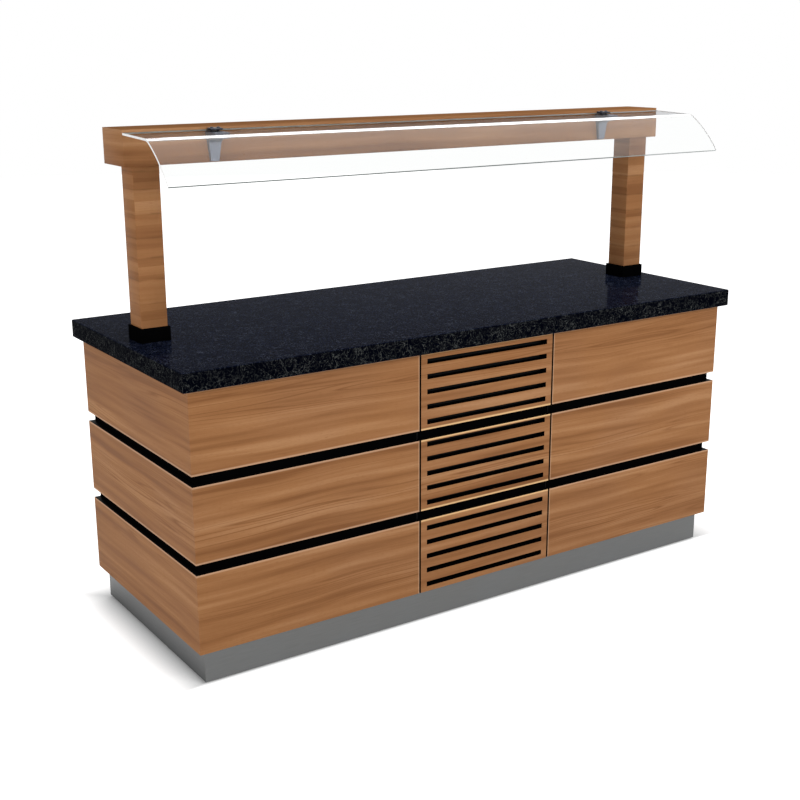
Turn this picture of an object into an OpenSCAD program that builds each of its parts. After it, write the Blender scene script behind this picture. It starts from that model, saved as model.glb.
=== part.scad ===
// Mobile refrigerated salad bar: a granite serving top on a timber-clad cabinet
// that runs on castors, and a timber gantry that carries a curved sneeze guard.
// Millimetres. X runs along the counter, Y from the guests' side (front, -Y) to
// the staff side, Z up. The origin is on the floor, under the middle of the top.

/* [Worktop] */
// Length of the granite slab
top_w = 2000; // [1700:10:2600]
// Depth of the granite slab
top_d = 796; // [700:2:1000]
// Thickness of the granite slab
top_t = 54; // [40:1:70]
// Height of the serving surface above the floor
counter_h = 905; // [750:1:1100]
// How far the slab stands out past the cladding
overhang = 23; // [15:1:40]
// Bevel along the slab's edges
arris = 2; // [0.5:0.5:4]

/* [Cladding] */
// Thickness of the veneered boards
board_t = 15; // [12:0.5:22]
// Thickness of the black carcass walls behind them
wall_t = 16; // [12:1:22]
// Height of the dark reveal between two tiers of boards
reveal_h = 29.5; // [20:0.5:40]
// Height of the middle tier of boards
middle_tier_h = 221; // [180:1:270]
// Width of the middle column, between the centres of its two joints
column_w = 500; // [490:2:560]
// Width of the upright joints beside the middle column
joint_gap = 4; // [3.5:0.5:6]
// Gap between the top boards and the slab
top_gap = 2; // [1.5:0.5:4]

/* [Air slots] */
// Length of one air slot
slot_w = 450; // [380:2:456]
// Height of one air slot
slot_h = 15.5; // [8:0.5:20]
// Distance from one slot to the next, in as many rows as a board has room for
slot_pitch = 45.5; // [30:0.5:60]
// Wood below the lowest slot
slot_margin = 16; // [10:0.5:25]
// Least wood above the highest slot
slot_rail = 7; // [5:0.5:20]
// How much wider the slots are in the wall behind the boards, on each side
slot_relief = 2; // [0:0.5:4]

/* [Plinth] */
// How far the plinth stands back from the cladding
plinth_inset = 22.5; // [15:0.5:40]
// Thickness of the plinth sheet
plinth_t = 1.5; // [1:0.5:3]
// Width of the lip folded in at the top of the plinth
plinth_lip = 25; // [15:1:30]
// Gap between the plinth and the floor
floor_gap = 6; // [4:1:15]

/* [Gantry] */
// Height of the beam's top above the floor
gantry_h = 1490; // [1400:5:1600]
// Width of a square post
post_w = 78; // [70:1:100]
// Distance from a post's centre to the end of the cladding
post_inset = 68; // [60:1:120]
// Place of the posts across the counter
post_y = 15; // [0:1:40]
// How far the black collar under a post stands out past it
collar_reach = 6; // [2:0.5:20]
// Height of the collar
collar_h = 40; // [20:1:60]
// How deep the collar is let into the slab
collar_let_in = 2; // [1:0.5:6]
// Width of the square steel tube inside a post
core_w = 50; // [40:1:56]
// Wall of that tube
core_wall = 3; // [2:0.5:4]
// Clearance round the tube where it passes through stone and timber
core_clear = 0.5; // [0.3:0.1:0.9]
// Depth of the beam, front to back
beam_d = 142; // [132:2:180]
// Height of the beam
beam_h = 98; // [80:1:120]
// Place of the beam across the counter
beam_y = 31; // [25:1:40]
// Thickness of the beam's boards
beam_wall = 15; // [12:1:20]

/* [Sneeze guard] */
// Thickness of the curved glass
glass_t = 6; // [5:0.5:10]
// Distance from the beam's top down to the glass's back edge
glass_drop = 8; // [4:1:20]
// Gap between the glass's back edge and the beam
glass_gap = 1; // [0.5:0.5:3]
// Fall of the flat part towards the guests, in degrees
glass_tilt = 2.2; // [0:0.1:6]
// Length of the flat part
glass_flat = 150; // [130:5:200]
// Outer radius of the sharp bend
bend_r = 45; // [30:1:80]
// Turn of the sharp bend, in degrees
bend_angle = 30; // [20:1:40]
// Outer radius of the gently curved front
curve_r = 400; // [300:10:600]
// Turn of the curved front, in degrees
curve_angle = 22; // [15:0.5:28]
// Place of the two brackets, either side of the middle
bracket_x = 715; // [400:5:800]
// Width of a bracket at the glass
bracket_w = 44; // [36:1:60]
// Width of a bracket at its foot
bracket_foot_w = 24; // [16:1:36]
// Reach of a bracket's arm under the glass
bracket_reach = 62; // [50:1:90]
// Thickness of a bracket's arm
arm_t = 5; // [4:0.5:8]
// Thickness of the gaskets on both faces of the glass
gasket_t = 1; // [0.5:0.5:2]

/* [Service door] */
// Clearance between the swinging door's edge and the boards beside it
swing_clear = 0.8; // [0.5:0.1:1.2]
// Radius of the pivot pins
pin_r = 3; // [2.5:0.5:4]
// Wood between a pin and the face of the door's panel
pin_cover = 0.5; // [0.5:0.1:2]
// Running clearance round the pivot pins
pin_clear = 0.05; // [0.02:0.01:0.08]
// Thickness of the air filter behind the door
filter_t = 12; // [8:1:16]

/* [Castors] */
// Diameter of a castor wheel
wheel_d = 75; // [60:1:100]
// Height of a castor above its wheel
castor_head = 27; // [24:1:40]
// Width of a castor wheel
wheel_w = 25; // [20:1:28]
// Distance from the swivel axis to the axle
castor_trail = 28; // [24:1:34]
// Distance from a castor's swivel axis to the end of the cladding
castor_inset = 137; // [130:1:200]
// Distance from a castor's swivel axis to the front or the back of the cladding
castor_setback = 140; // [136:1:180]
// Radius of the swivel pin
king_r = 6; // [5:0.5:7]
// Radius of the axle
axle_r = 4; // [3:0.5:5]

/* [Cooling] */
// Thickness of the cold plate under the slab
cold_plate_t = 3; // [2:0.5:5]
// Radius of the copper tubes
tube_r = 4.75; // [4:0.25:6]
// Distance from the outermost rows of tube to the edge of the cold plate
coil_margin = 39; // [15:1:60]
// Number of rows, an even number
row_count = 8; // [4:2:8]
// Thickness of foam under the evaporator
foam_t = 40; // [30:1:50]
// Radius of the condenser fan
fan_r = 90; // [70:1:92]
// Number of fan blades
blade_count = 5; // [4:1:7]
// Radius of the compressor's shell
pot_r = 85; // [70:1:90]
// Height of the compressor's shell
pot_h = 190; // [150:5:220]

/* [Controls] */
// Width of the control panel's face
panel_w = 230; // [226:2:300]
// Height of the control panel's face
panel_h = 90; // [80:2:140]
// Radius of a push-button
button_r = 5; // [4:0.5:5]
// Clearance round the push-buttons
button_clear = 0.3; // [0.2:0.1:0.4]

/* [Hidden] */
$fn = 64;

// Colours
veneer = "#a9764e";
stone = "#1d1f29";
black_board = "#141416";
steel = "#8d8f90";
bright_steel = "#b9bcbf";
copper = "#b4673c";

// Cabinet, from its outside in
body_x = top_w / 2 - overhang;
body_y = top_d / 2 - overhang;
wall_x = body_x - board_t;
wall_y = body_y - board_t;
inner_x = wall_x - wall_t;
inner_y = wall_y - wall_t;
slab_z = counter_h - top_t;

// Height of the castors, of the plinth and of the chassis's underside
plinth_h = wheel_d + castor_head;

// Tiers of boards, lowest first, each from its bottom to its top
clad_gap = 1;
clad_z = plinth_h + clad_gap;
outer_tier_h = (slab_z - clad_z - 2 * reveal_h - middle_tier_h) / 2;
middle_z = clad_z + outer_tier_h + reveal_h;
upper_z = middle_z + middle_tier_h + reveal_h;
tiers = [
  [clad_z, clad_z + outer_tier_h],
  [middle_z, middle_z + middle_tier_h],
  [upper_z, slab_z - top_gap]
];

// Middle column: half widths of its opening and of the boards in it
opening_x = (column_w + joint_gap) / 2;
column_x = (column_w - joint_gap) / 2;

// Chassis and base
rail_w = 80;
rail_h = 40;
rail_wall = 3;
rail_end_gap = 2;
base_z = plinth_h + rail_h;
base_t = 18;
floor_z = base_z + base_t;
partition_gap = 14;
partition_x = opening_x + partition_gap;
base_notch_y = inner_y - 54;

// Cooling under the slab
tray_rim = 20;
plate_x = body_x - 197;
plate_y = inner_y - 74;
plate_clear = 5;
tray_x = plate_x + plate_clear + tray_rim;
tray_y = plate_y + plate_clear + tray_rim;
coil_gap = 0.2;
coil_z = slab_z - cold_plate_t - coil_gap - tube_r;
pocket_z = slab_z - cold_plate_t - 2 * tube_r - 2.5;
tray_z = pocket_z - foam_t;
coil_x = plate_x - 45;
drop_x = 100;
drop_z = tray_z - 36;
drop_bend = 12;
drop_hole_r = 18;
row_pitch = 2 * floor((plate_y - coil_margin) / (row_count - 1));
row_y = function (i) (i - (row_count - 1) / 2) * row_pitch;
pipe_bend = 20;

// Service door. Its pivot lies so far in that the corner swings clear of the next board
pivot_back = board_t + pin_cover + pin_r;
swing_gap = joint_gap - swing_clear;
pivot_in = ceil((pivot_back ^ 2 - swing_gap ^ 2) / (2 * swing_gap));
pivot_x = -column_x + pivot_in;
pivot_y = -body_y + pivot_back;
door_panel_z = clad_z + 2;
door_panel_top = slab_z - top_gap - 1;
pin_depth = 10;
pin_reach = 11;
bush_r = pin_r + 2;
bush_z = slab_z - 0.6;
pivot_plate_t = 3;
pivot_plate_w = 40;
pivot_boss = 2;
filter_lap = 3;
filter_x = slot_w / 2 + slot_relief + filter_lap;
filter_margin = 6;

// Gantry
post_x = body_x - post_inset;
post_z = counter_h + collar_h;
collar_half = post_w / 2 + collar_reach;
collar_fit = 0.3;
beam_z = gantry_h - beam_h;
beam_front = beam_y - beam_d / 2;
core_foot_h = 140;
core_foot_z = slab_z - core_foot_h - 11;
head_plate_w = core_w + 24;
head_plate_t = 6;
cable_hole_r = 10;
light_w = 24;
light_h = 10;
light_l = 2 * post_x - 118;
light_fit = 0.2;

// Sneeze guard
guard_y = beam_front - glass_gap;
guard_z = gantry_h - glass_drop;
bend_steps = 12;
curve_steps = 22;
bracket_foot_z = beam_z + 3;
bracket_foot_d = 10;
bracket_leg_d = 13;
bracket_top_d = 54;
clamp_l = 26;
clamp_w = 36;
clamp_t = 4;
clamp_back = 3;
screw_r = 3;
screw_spread = 10;
screw_head_r = 5;
screw_head_h = 3;
glass_hole_r = 5;

// Condensing unit
condenser_x = 150;
condenser_d = 50;
condenser_h = 260;
condenser_lift = 15;
condenser_y = -inner_y + 94;
fin_count = 24;
fin_t = 2;
shroud_d = 45;
shroud_t = 3;
fan_gap = 4;
fan_z = floor_z + condenser_lift + condenser_h / 2;
fan_y = condenser_y + condenser_d + shroud_d / 2;
hub_r = 24;
hub_l = 26;
shaft_r = 3;
shaft_l = 20;
motor_r = 32;
motor_l = 48;
motor_gap = 2;
pot_x = -100;
pot_y = inner_y - 244;
pot_lift = 14;
stub_r = 6;
stub_l = 6;
discharge_z = floor_z + 90;

// Control panel, on the staff side
panel_z = (upper_z + slab_z - top_gap) / 2;
panel_t = 2;
panel_y = body_y;
face_y = panel_y + panel_t;
box_d = 50;
box_wall = 1.5;
box_margin = 10;
cutout_clear = 2;
bezel_t = 2.5;
fit_gap = 0.3;

// Castors, in their own frame: the origin is on the floor under the swivel axis
castor_x = body_x - castor_inset;
castor_y = body_y - castor_setback;
castor_plate_t = 3;
castor_plate = [100, 80];
castor_bolt = [40, 28];
castor_bolt_r = 4.5;
plate_z = plinth_h - castor_plate_t;
axle_z = wheel_d / 2;
crown_z = wheel_d + 3;
crown_r = 26;
race_r = 24;
race_h = 13;
crown_top = plate_z - race_h - 0.3;
leg_t = 3;
leg_gap = 1.5;
leg_y = wheel_w / 2 + leg_gap;
king_head_z = crown_z - 6;
king_head_h = 5.7;
king_head_r = 8;
running = 0.05;
hub_recess = 4;
pedal_pin_r = 2.5;
pedal_x = -48;
pedal_z = crown_z + 4;
pedal_tip = -88;
pedal_t = 5;
pedal_side_gap = 0.4;
pad_x = [-67, -58];
pad_drop = 13.5;

// ---------------------------------------------------------------- helpers

// A box between two values on each axis
module span(x, y, z) {
  translate([x[0], y[0], z[0]])
    cube([x[1] - x[0], y[1] - y[0], z[1] - z[0]]);
}

// A copy at each end of the counter
module both_ends() {
  children();
  mirror([1, 0, 0]) children();
}

// A copy on the guests' side and on the staff side
module both_sides() {
  children();
  mirror([0, 1, 0]) children();
}

// A cylinder along Y between two places
module rod_y(r, y) {
  translate([0, y[0], 0]) rotate([-90, 0, 0]) cylinder(r = r, h = y[1] - y[0]);
}

// A cylinder along X between two places
module rod_x(r, x) {
  translate([x[0], 0, 0]) rotate([0, 90, 0]) cylinder(r = r, h = x[1] - x[0]);
}

// An outline in Y and Z, pulled out along X
module extrude_x(x) {
  translate([x[0], 0, 0]) rotate([90, 0, 90]) linear_extrude(x[1] - x[0]) children();
}

// An outline in X and Z, pulled out along Y
module extrude_y(y) {
  translate([0, y[1], 0]) rotate([90, 0, 0]) linear_extrude(y[1] - y[0]) children();
}

unit = function (v) v / norm(v);

// A quarter bend of a tube at a corner, from direction u into direction v
module elbow(corner, u, v, bend, r) {
  c = corner - bend * u + bend * v;
  w = cross(-v, u);
  multmatrix([
    [-v.x, u.x, w.x, c.x],
    [-v.y, u.y, w.y, c.y],
    [-v.z, u.z, w.z, c.z],
    [0, 0, 0, 1]
  ])
    rotate_extrude(angle = 90) translate([bend, 0]) circle(r);
}

// A tube through square corners. bends holds one radius for each corner
module tube_path(points, bends, r) {
  last = len(points) - 1;
  for (i = [0 : last - 1]) {
    u = unit(points[i + 1] - points[i]);
    start_cut = i == 0 ? 0 : bends[i - 1];
    end_cut = i == last - 1 ? 0 : bends[i];
    run = norm(points[i + 1] - points[i]) - start_cut - end_cut;
    if (run > 0.01)
      translate(points[i] + start_cut * u)
        rotate([0, acos(u.z), atan2(u.y, u.x)])
          cylinder(r = r, h = run);
    if (i < last - 1)
      elbow(points[i + 1], u, unit(points[i + 2] - points[i + 1]), bends[i], r);
  }
}

// ---------------------------------------------------------------- worktop

// A rectangle with its four corners bevelled, centred on the first axis
module bevelled(w, h, c) {
  polygon([
    [-w / 2 + c, 0], [w / 2 - c, 0], [w / 2, c], [w / 2, h - c],
    [w / 2 - c, h], [-w / 2 + c, h], [-w / 2, h - c], [-w / 2, c]
  ]);
}

// Square hole for a post's steel core, centred on the post
module core_hole(z) {
  half = core_w / 2 + core_clear;
  span([post_x - half, post_x + half], [post_y - half, post_y + half], z);
}

// A square block round a post
module collar_block(half, z) {
  span([post_x - half, post_x + half], [post_y - half, post_y + half], z);
}

module worktop() {
  color(stone)
    difference() {
      translate([0, 0, slab_z])
        intersection() {
          extrude_x([-top_w / 2, top_w / 2]) bevelled(top_d, top_t, arris);
          extrude_y([-top_d / 2, top_d / 2]) bevelled(top_w, top_t, arris);
        }
      both_ends() {
        core_hole([slab_z - 1, counter_h + 1]);
        collar_block(collar_half + collar_fit, [counter_h - collar_let_in, counter_h + 1]);
      }
      translate([pivot_x, pivot_y, slab_z - 1])
        cylinder(r = bush_r + running, h = pin_reach + 4);
    }
}

module evaporator_plate() {
  color(bright_steel)
    span([-plate_x, plate_x], [-plate_y, plate_y], [slab_z - cold_plate_t, slab_z]);
}

// Corners of the evaporator's run: down pipe, rows to and fro, down pipe
function coil_points() =
  let (side = function (i) i % 2 == 0 ? coil_x : -coil_x)
  concat(
    [[-drop_x, row_y(0), drop_z], [-drop_x, row_y(0), coil_z]],
    [for (i = [0 : row_count - 2], k = [0, 1]) [side(i), row_y(i + k), coil_z]],
    [[drop_x, row_y(row_count - 1), coil_z], [drop_x, row_y(row_count - 1), drop_z]]
  );

module evaporator_coil() {
  points = coil_points();
  turns = len(points) - 2;
  bends = [for (i = [0 : turns - 1]) i == 0 || i == turns - 1 ? drop_bend : row_pitch / 2];
  color(copper) tube_path(points, bends, tube_r);
}

module insulation_tray() {
  color("#d9d2b8")
    difference() {
      span([-tray_x, tray_x], [-tray_y, tray_y], [tray_z, slab_z]);
      span([-tray_x + tray_rim, tray_x - tray_rim],
           [-tray_y + tray_rim, tray_y - tray_rim], [pocket_z, slab_z + 1]);
      for (end = [[-drop_x, row_y(0)], [drop_x, row_y(row_count - 1)]])
        translate([end.x, end.y, tray_z - 1]) cylinder(r = drop_hole_r, h = foam_t + 2);
    }
}

// ---------------------------------------------------------------- carcass

// One length of square steel tube along X
module rail_x(x, y) {
  difference() {
    span(x, y, [plinth_h, base_z]);
    span([x[0] - 1, x[1] + 1], [y[0] + rail_wall, y[1] - rail_wall],
         [plinth_h + rail_wall, base_z - rail_wall]);
  }
}

module chassis() {
  rail_in = castor_y - rail_w / 2;
  rail_out = castor_y + rail_w / 2;
  color(steel) {
    both_sides() rail_x([-inner_x + rail_end_gap, inner_x - rail_end_gap], [rail_in, rail_out]);
    for (x = [-castor_x, 0, castor_x])
      difference() {
        span([x - rail_w / 2, x + rail_w / 2], [-rail_in, rail_in], [plinth_h, base_z]);
        span([x - rail_w / 2 + rail_wall, x + rail_w / 2 - rail_wall],
             [-rail_in - 1, rail_in + 1], [plinth_h + rail_wall, base_z - rail_wall]);
      }
  }
}

module base_panel() {
  color(black_board)
    difference() {
      span([-inner_x, inner_x], [-inner_y, inner_y], [base_z, floor_z]);
      span([-partition_x, partition_x], [-inner_y - 1, -base_notch_y],
           [base_z - 1, floor_z + 1]);
    }
}

module end_walls() {
  color(black_board)
    both_ends() span([inner_x, wall_x], [-wall_y, wall_y], [plinth_h, slab_z]);
}

module front_walls() {
  color(black_board)
    both_ends() span([opening_x, inner_x], [-wall_y, -inner_y], [plinth_h, slab_z]);
}

// Cuts all the air slots of one tier, through the given depth
module slots(tier, y, relief) {
  half = slot_w / 2 + relief;
  room = tier[1] - tier[0] - slot_margin - slot_h - slot_rail;
  for (i = [0 : floor(room / slot_pitch)]) {
    z = tier[0] + slot_margin + i * slot_pitch;
    span([-half, half], y, [z - relief, z + slot_h + relief]);
  }
}

// The control box's place in the staff side, with a margin round it
module control_cutout(y) {
  half_x = panel_w / 2 - box_margin + cutout_clear;
  half_z = panel_h / 2 - box_margin + cutout_clear;
  span([-half_x, half_x], y, [panel_z - half_z, panel_z + half_z]);
}

module rear_wall() {
  color(black_board)
    difference() {
      span([-inner_x, inner_x], [inner_y, wall_y], [plinth_h, slab_z]);
      for (tier = [tiers[0], tiers[1]])
        slots(tier, [inner_y - 1, wall_y + 1], slot_relief);
      control_cutout([inner_y - 1, wall_y + 1]);
    }
}

module partitions() {
  color(black_board)
    both_ends()
      span([partition_x, partition_x + wall_t], [-inner_y, inner_y], [floor_z, tray_z]);
}

// ---------------------------------------------------------------- cladding

// Plan of a board on a long side, right of the middle column, mitred at the corner
module side_board_plan() {
  polygon([
    [opening_x, -body_y], [body_x, -body_y],
    [wall_x, -wall_y], [opening_x, -wall_y]
  ]);
}

// Plan of a board on an end, mitred at both corners
module end_board_plan() {
  polygon([[body_x, -body_y], [body_x, body_y], [wall_x, wall_y], [wall_x, -wall_y]]);
}

// One board for each tier, from a plan
module tier_boards() {
  color(veneer)
    for (tier = tiers)
      translate([0, 0, tier[0]]) linear_extrude(tier[1] - tier[0]) children();
}

module fascia_front_right() {
  tier_boards() side_board_plan();
}

module fascia_front_left() {
  mirror([1, 0, 0]) tier_boards() side_board_plan();
}

module fascia_end_right() {
  tier_boards() end_board_plan();
}

module fascia_end_left() {
  mirror([1, 0, 0]) tier_boards() end_board_plan();
}

module fascia_rear() {
  both_ends() mirror([0, 1, 0]) tier_boards() side_board_plan();
}

// A board of the middle column, with its air slots
module slotted_board(tier) {
  color(veneer)
    difference() {
      span([-column_x, column_x], [-body_y, -wall_y], tier);
      slots(tier, [-body_y - 1, -wall_y + 1], 0);
    }
}

module rear_column_boards() {
  mirror([0, 1, 0]) {
    slotted_board(tiers[0]);
    slotted_board(tiers[1]);
  }
  color(veneer)
    difference() {
      span([-column_x, column_x], [wall_y, body_y], tiers[2]);
      control_cutout([wall_y - 1, body_y + 1]);
    }
}

// ---------------------------------------------------------------- service door

module door_grille_bottom() {
  slotted_board(tiers[0]);
}

module door_grille_middle() {
  slotted_board(tiers[1]);
}

module door_grille_top() {
  slotted_board(tiers[2]);
}

module door_panel() {
  color(black_board)
    difference() {
      span([-column_x, column_x], [-wall_y, -inner_y], [door_panel_z, door_panel_top]);
      for (tier = tiers)
        slots(tier, [-wall_y - 1, -inner_y + 1], slot_relief);
      for (z = [door_panel_z - 1, door_panel_top - pin_depth])
        translate([pivot_x, pivot_y, z]) cylinder(r = pin_r, h = pin_depth + 1);
    }
}

// Pins in the door's top and bottom edges, on one upright axis
module door_pins() {
  color(bright_steel) {
    translate([pivot_x, pivot_y, plinth_h - 4.5])
      cylinder(r = pin_r, h = door_panel_z - 1 + pin_depth + 1 - plinth_h + 4.5);
    translate([pivot_x, pivot_y, door_panel_top - pin_depth])
      cylinder(r = pin_r, h = pin_depth + slab_z - door_panel_top + pin_reach);
  }
}

// Bush in the slab's underside, and the plate with a boss under the chassis rail
module door_pivots() {
  plate_back = -castor_y + rail_w / 2 - 5;
  plate_front = pivot_y - 9;
  color(steel) {
    difference() {
      translate([pivot_x, pivot_y, bush_z])
        cylinder(r = bush_r, h = slab_z - bush_z + pin_reach + 2);
      translate([pivot_x, pivot_y, bush_z - 1])
        cylinder(r = pin_r + pin_clear, h = slab_z - bush_z + pin_reach + 4);
    }
    difference() {
      union() {
        span([pivot_x - pivot_plate_w / 2, pivot_x + pivot_plate_w / 2],
             [plate_front, plate_back], [plinth_h - pivot_plate_t, plinth_h]);
        translate([pivot_x, pivot_y, plinth_h - pivot_plate_t - pivot_boss])
          cylinder(r = bush_r + 2, h = pivot_plate_t + pivot_boss + 0.7);
      }
      translate([pivot_x, pivot_y, plinth_h - pivot_plate_t - 3])
        cylinder(r = pin_r + pin_clear, h = pivot_plate_t + 5);
    }
  }
}

// Magnetic stop on the right partition, behind the door's free edge
module door_catch() {
  catch_w = 30;
  catch_z = (clad_z + slab_z) / 2;
  color(bright_steel)
    span([partition_x - catch_w, partition_x], [-inner_y + fit_gap, -inner_y + 24],
         [catch_z - 30, catch_z + 30]);
}

module air_filter() {
  frame_w = 14;
  z = [door_panel_z + filter_margin, door_panel_top - filter_margin];
  color("#26282a")
    difference() {
      span([-filter_x, filter_x], [-inner_y, -inner_y + filter_t], z);
      span([-filter_x + frame_w, filter_x - frame_w],
           [-inner_y + filter_t - 3, -inner_y + filter_t + 1], [z[0] + frame_w, z[1] - frame_w]);
    }
}

// ---------------------------------------------------------------- plinth

plinth_x = body_x - plinth_inset;
plinth_y = body_y - plinth_inset;

// A long plinth: upright sheet and the lip folded in at its top
module long_plinth() {
  span([-plinth_x, plinth_x], [-plinth_y, -plinth_y + plinth_t], [floor_gap, plinth_h]);
  span([-plinth_x + plinth_t, plinth_x - plinth_t],
       [-plinth_y + plinth_t / 2, -plinth_y + plinth_t + plinth_lip],
       [plinth_h - plinth_t, plinth_h]);
}

module plinth_front() {
  half = pivot_plate_w / 2 + 1;
  color(steel)
    difference() {
      long_plinth();
      span([pivot_x - half, pivot_x + half], [-plinth_y - 1, -plinth_y + plinth_lip + 5],
           [plinth_h - pivot_plate_t - pivot_boss - fit_gap, plinth_h + 1]);
    }
}

module plinth_rear() {
  color(steel) mirror([0, 1, 0]) long_plinth();
}

module plinth_ends() {
  lip_y = plinth_y - plinth_t - plinth_lip - 1;
  color(steel)
    both_ends() {
      span([plinth_x - plinth_t, plinth_x], [-plinth_y + plinth_t, plinth_y - plinth_t],
           [floor_gap, plinth_h - plinth_t]);
      span([plinth_x - plinth_t - plinth_lip, plinth_x - plinth_t / 2], [-lip_y, lip_y],
           [plinth_h - plinth_t, plinth_h]);
    }
}

// ---------------------------------------------------------------- gantry

module post() {
  half = post_w / 2;
  color(veneer)
    difference() {
      span([post_x - half, post_x + half], [post_y - half, post_y + half], [post_z, beam_z]);
      core_hole([post_z - 1, beam_z + 1]);
    }
}

module post_right() {
  post();
}

module post_left() {
  mirror([1, 0, 0]) post();
}

// Steel tube from a foot on the end wall, up through the slab and the post, to a
// plate inside the beam
module post_cores() {
  half = core_w / 2;
  bore = half - core_wall;
  plate = head_plate_w / 2;
  beam_floor = beam_z + beam_wall;
  color(steel)
    both_ends()
      difference() {
        union() {
          span([post_x - half, post_x + half], [post_y - half, post_y + half],
               [core_foot_z, beam_floor]);
          span([post_x + half - 1, inner_x], [post_y - 50, post_y + 50],
               [core_foot_z, core_foot_z + core_foot_h]);
          span([post_x - plate, post_x + plate], [post_y - plate, post_y + plate],
               [beam_floor, beam_floor + head_plate_t]);
        }
        span([post_x - bore, post_x + bore], [post_y - bore, post_y + bore],
             [core_foot_z - 1, beam_floor]);
        translate([post_x, post_y, beam_floor - 1])
          cylinder(r = cable_hole_r, h = head_plate_t + 2);
      }
}

// Collars, let a little way into the slab so that they stay square to it
module post_collars() {
  bottom = counter_h - collar_let_in;
  color(black_board)
    both_ends()
      difference() {
        collar_block(collar_half, [bottom, post_z]);
        core_hole([bottom - 1, post_z + 1]);
      }
}

// Hollow timber beam over the posts
module beam() {
  cavity_y = beam_d / 2 - beam_wall;
  color(veneer)
    difference() {
      span([-body_x, body_x], [beam_front, beam_front + beam_d], [beam_z, gantry_h]);
      span([-body_x + beam_wall, body_x - beam_wall], [beam_y - cavity_y, beam_y + cavity_y],
           [beam_z + beam_wall, gantry_h - beam_wall]);
      both_ends() core_hole([beam_z - 1, beam_z + beam_wall + 1]);
      span([-light_l / 2 - light_fit, light_l / 2 + light_fit],
           [beam_y - light_w / 2 - light_fit, beam_y + light_w / 2 + light_fit],
           [beam_z - 1, beam_z + light_h]);
    }
}

module light_bar() {
  color("#e8e6dc")
    span([-light_l / 2, light_l / 2], [beam_y - light_w / 2, beam_y + light_w / 2],
         [beam_z, beam_z + light_h]);
}

// ---------------------------------------------------------------- sneeze guard

// Places what is drawn on the guard's flat part: its back edge lies on the X axis,
// its upper face in the XY plane, and -Y runs towards the guests
module on_guard() {
  translate([0, guard_y, guard_z]) rotate([glass_tilt, 0, 0]) children();
}

// A point at radius r from a centre, turned down from upright by the angle a
function down_arc(centre, r, a) = centre + r * [sin(a), cos(a)];

// The guard's outline at a depth under its upper face: flat, bend, curved front
function guard_edge(depth) =
  let (
    bend_centre = [glass_flat, -bend_r],
    curve_centre = down_arc(bend_centre, bend_r - curve_r, bend_angle)
  )
  [
    [0, -depth],
    for (i = [0 : bend_steps])
      down_arc(bend_centre, bend_r - depth, i * bend_angle / bend_steps),
    for (i = [1 : curve_steps])
      down_arc(curve_centre, curve_r - depth, bend_angle + i * curve_angle / curve_steps)
  ];

// Section of the bent glass
module guard_section() {
  under = guard_edge(glass_t);
  polygon(concat(guard_edge(0), [for (i = [len(under) - 1 : -1 : 0]) under[i]]));
}

// Runs its children at the four fixing screws, on the guard's flat part
module at_guard_screws() {
  for (side = [-1, 1], step = [-1, 1])
    translate([side * bracket_x + step * screw_spread, -clamp_back - clamp_l / 2, 0])
      children();
}

module glass_guard() {
  color("#cfe3e0", 0.4)
    on_guard()
      difference() {
        mirror([0, 1, 0]) extrude_x([-body_x, body_x]) guard_section();
        at_guard_screws() translate([0, 0, -glass_t - 1]) cylinder(r = glass_hole_r, h = glass_t + 2);
      }
}

// Side outline of a bracket: a slim leg on the beam's face that curves out under the arm
module bracket_side(h) {
  curve_l = 36;
  curve_h = 18;
  nose_h = 12;
  polygon([
    [beam_front, 0], [beam_front - bracket_foot_d, 0],
    for (a = [0:15:90])
      [beam_front - bracket_leg_d - curve_l * (1 - cos(a)), h - nose_h - curve_h * (1 - sin(a))],
    [beam_front - bracket_top_d, h], [beam_front, h]
  ]);
}

// Tapered bracket: a leg on the beam's face under an arm that follows the glass
module guard_brackets() {
  arm_top = -glass_t - gasket_t;
  wedge_top = guard_z + arm_top - arm_t + 1;
  wedge_h = wedge_top - bracket_foot_z;
  color(bright_steel)
    for (side = [-1, 1])
      difference() {
        union() {
          translate([side * bracket_x, 0, bracket_foot_z])
            intersection() {
              extrude_y([beam_front - bracket_reach, beam_front])
                polygon([
                  [-bracket_foot_w / 2, 0], [bracket_foot_w / 2, 0],
                  [bracket_w / 2, wedge_h], [-bracket_w / 2, wedge_h]
                ]);
              extrude_x([-bracket_w, bracket_w]) bracket_side(wedge_h);
            }
          on_guard()
            span([side * bracket_x - bracket_w / 2, side * bracket_x + bracket_w / 2],
                 [-bracket_reach, glass_gap / 2], [arm_top - arm_t, arm_top]);
        }
        on_guard() at_guard_screws()
          translate([0, 0, arm_top - arm_t - 6]) cylinder(r = screw_r + running, h = arm_t + 7);
      }
}

// Clamp plate outline with its two screw holes, on the guard's flat part
module clamp_pad(z, hole_r) {
  difference() {
    for (side = [-1, 1])
      span([side * bracket_x - clamp_w / 2, side * bracket_x + clamp_w / 2],
           [-clamp_back - clamp_l, -clamp_back], z);
    at_guard_screws() translate([0, 0, z[0] - 1]) cylinder(r = hole_r, h = z[1] - z[0] + 2);
  }
}

module guard_gaskets() {
  color("#2b2b2d")
    on_guard() {
      clamp_pad([0, gasket_t], glass_hole_r);
      clamp_pad([-glass_t - gasket_t, -glass_t], glass_hole_r);
    }
}

// Clamp plates over the glass and the screws that pull them down
module guard_fixings() {
  top = gasket_t + clamp_t;
  tip = -glass_t - gasket_t - arm_t;
  color(bright_steel)
    on_guard() {
      clamp_pad([gasket_t, top], screw_r + running);
      at_guard_screws() {
        translate([0, 0, tip]) cylinder(r = screw_r, h = top - tip);
        translate([0, 0, top]) cylinder(r = screw_head_r, h = screw_head_h);
      }
    }
}

// ---------------------------------------------------------------- condensing unit

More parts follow.
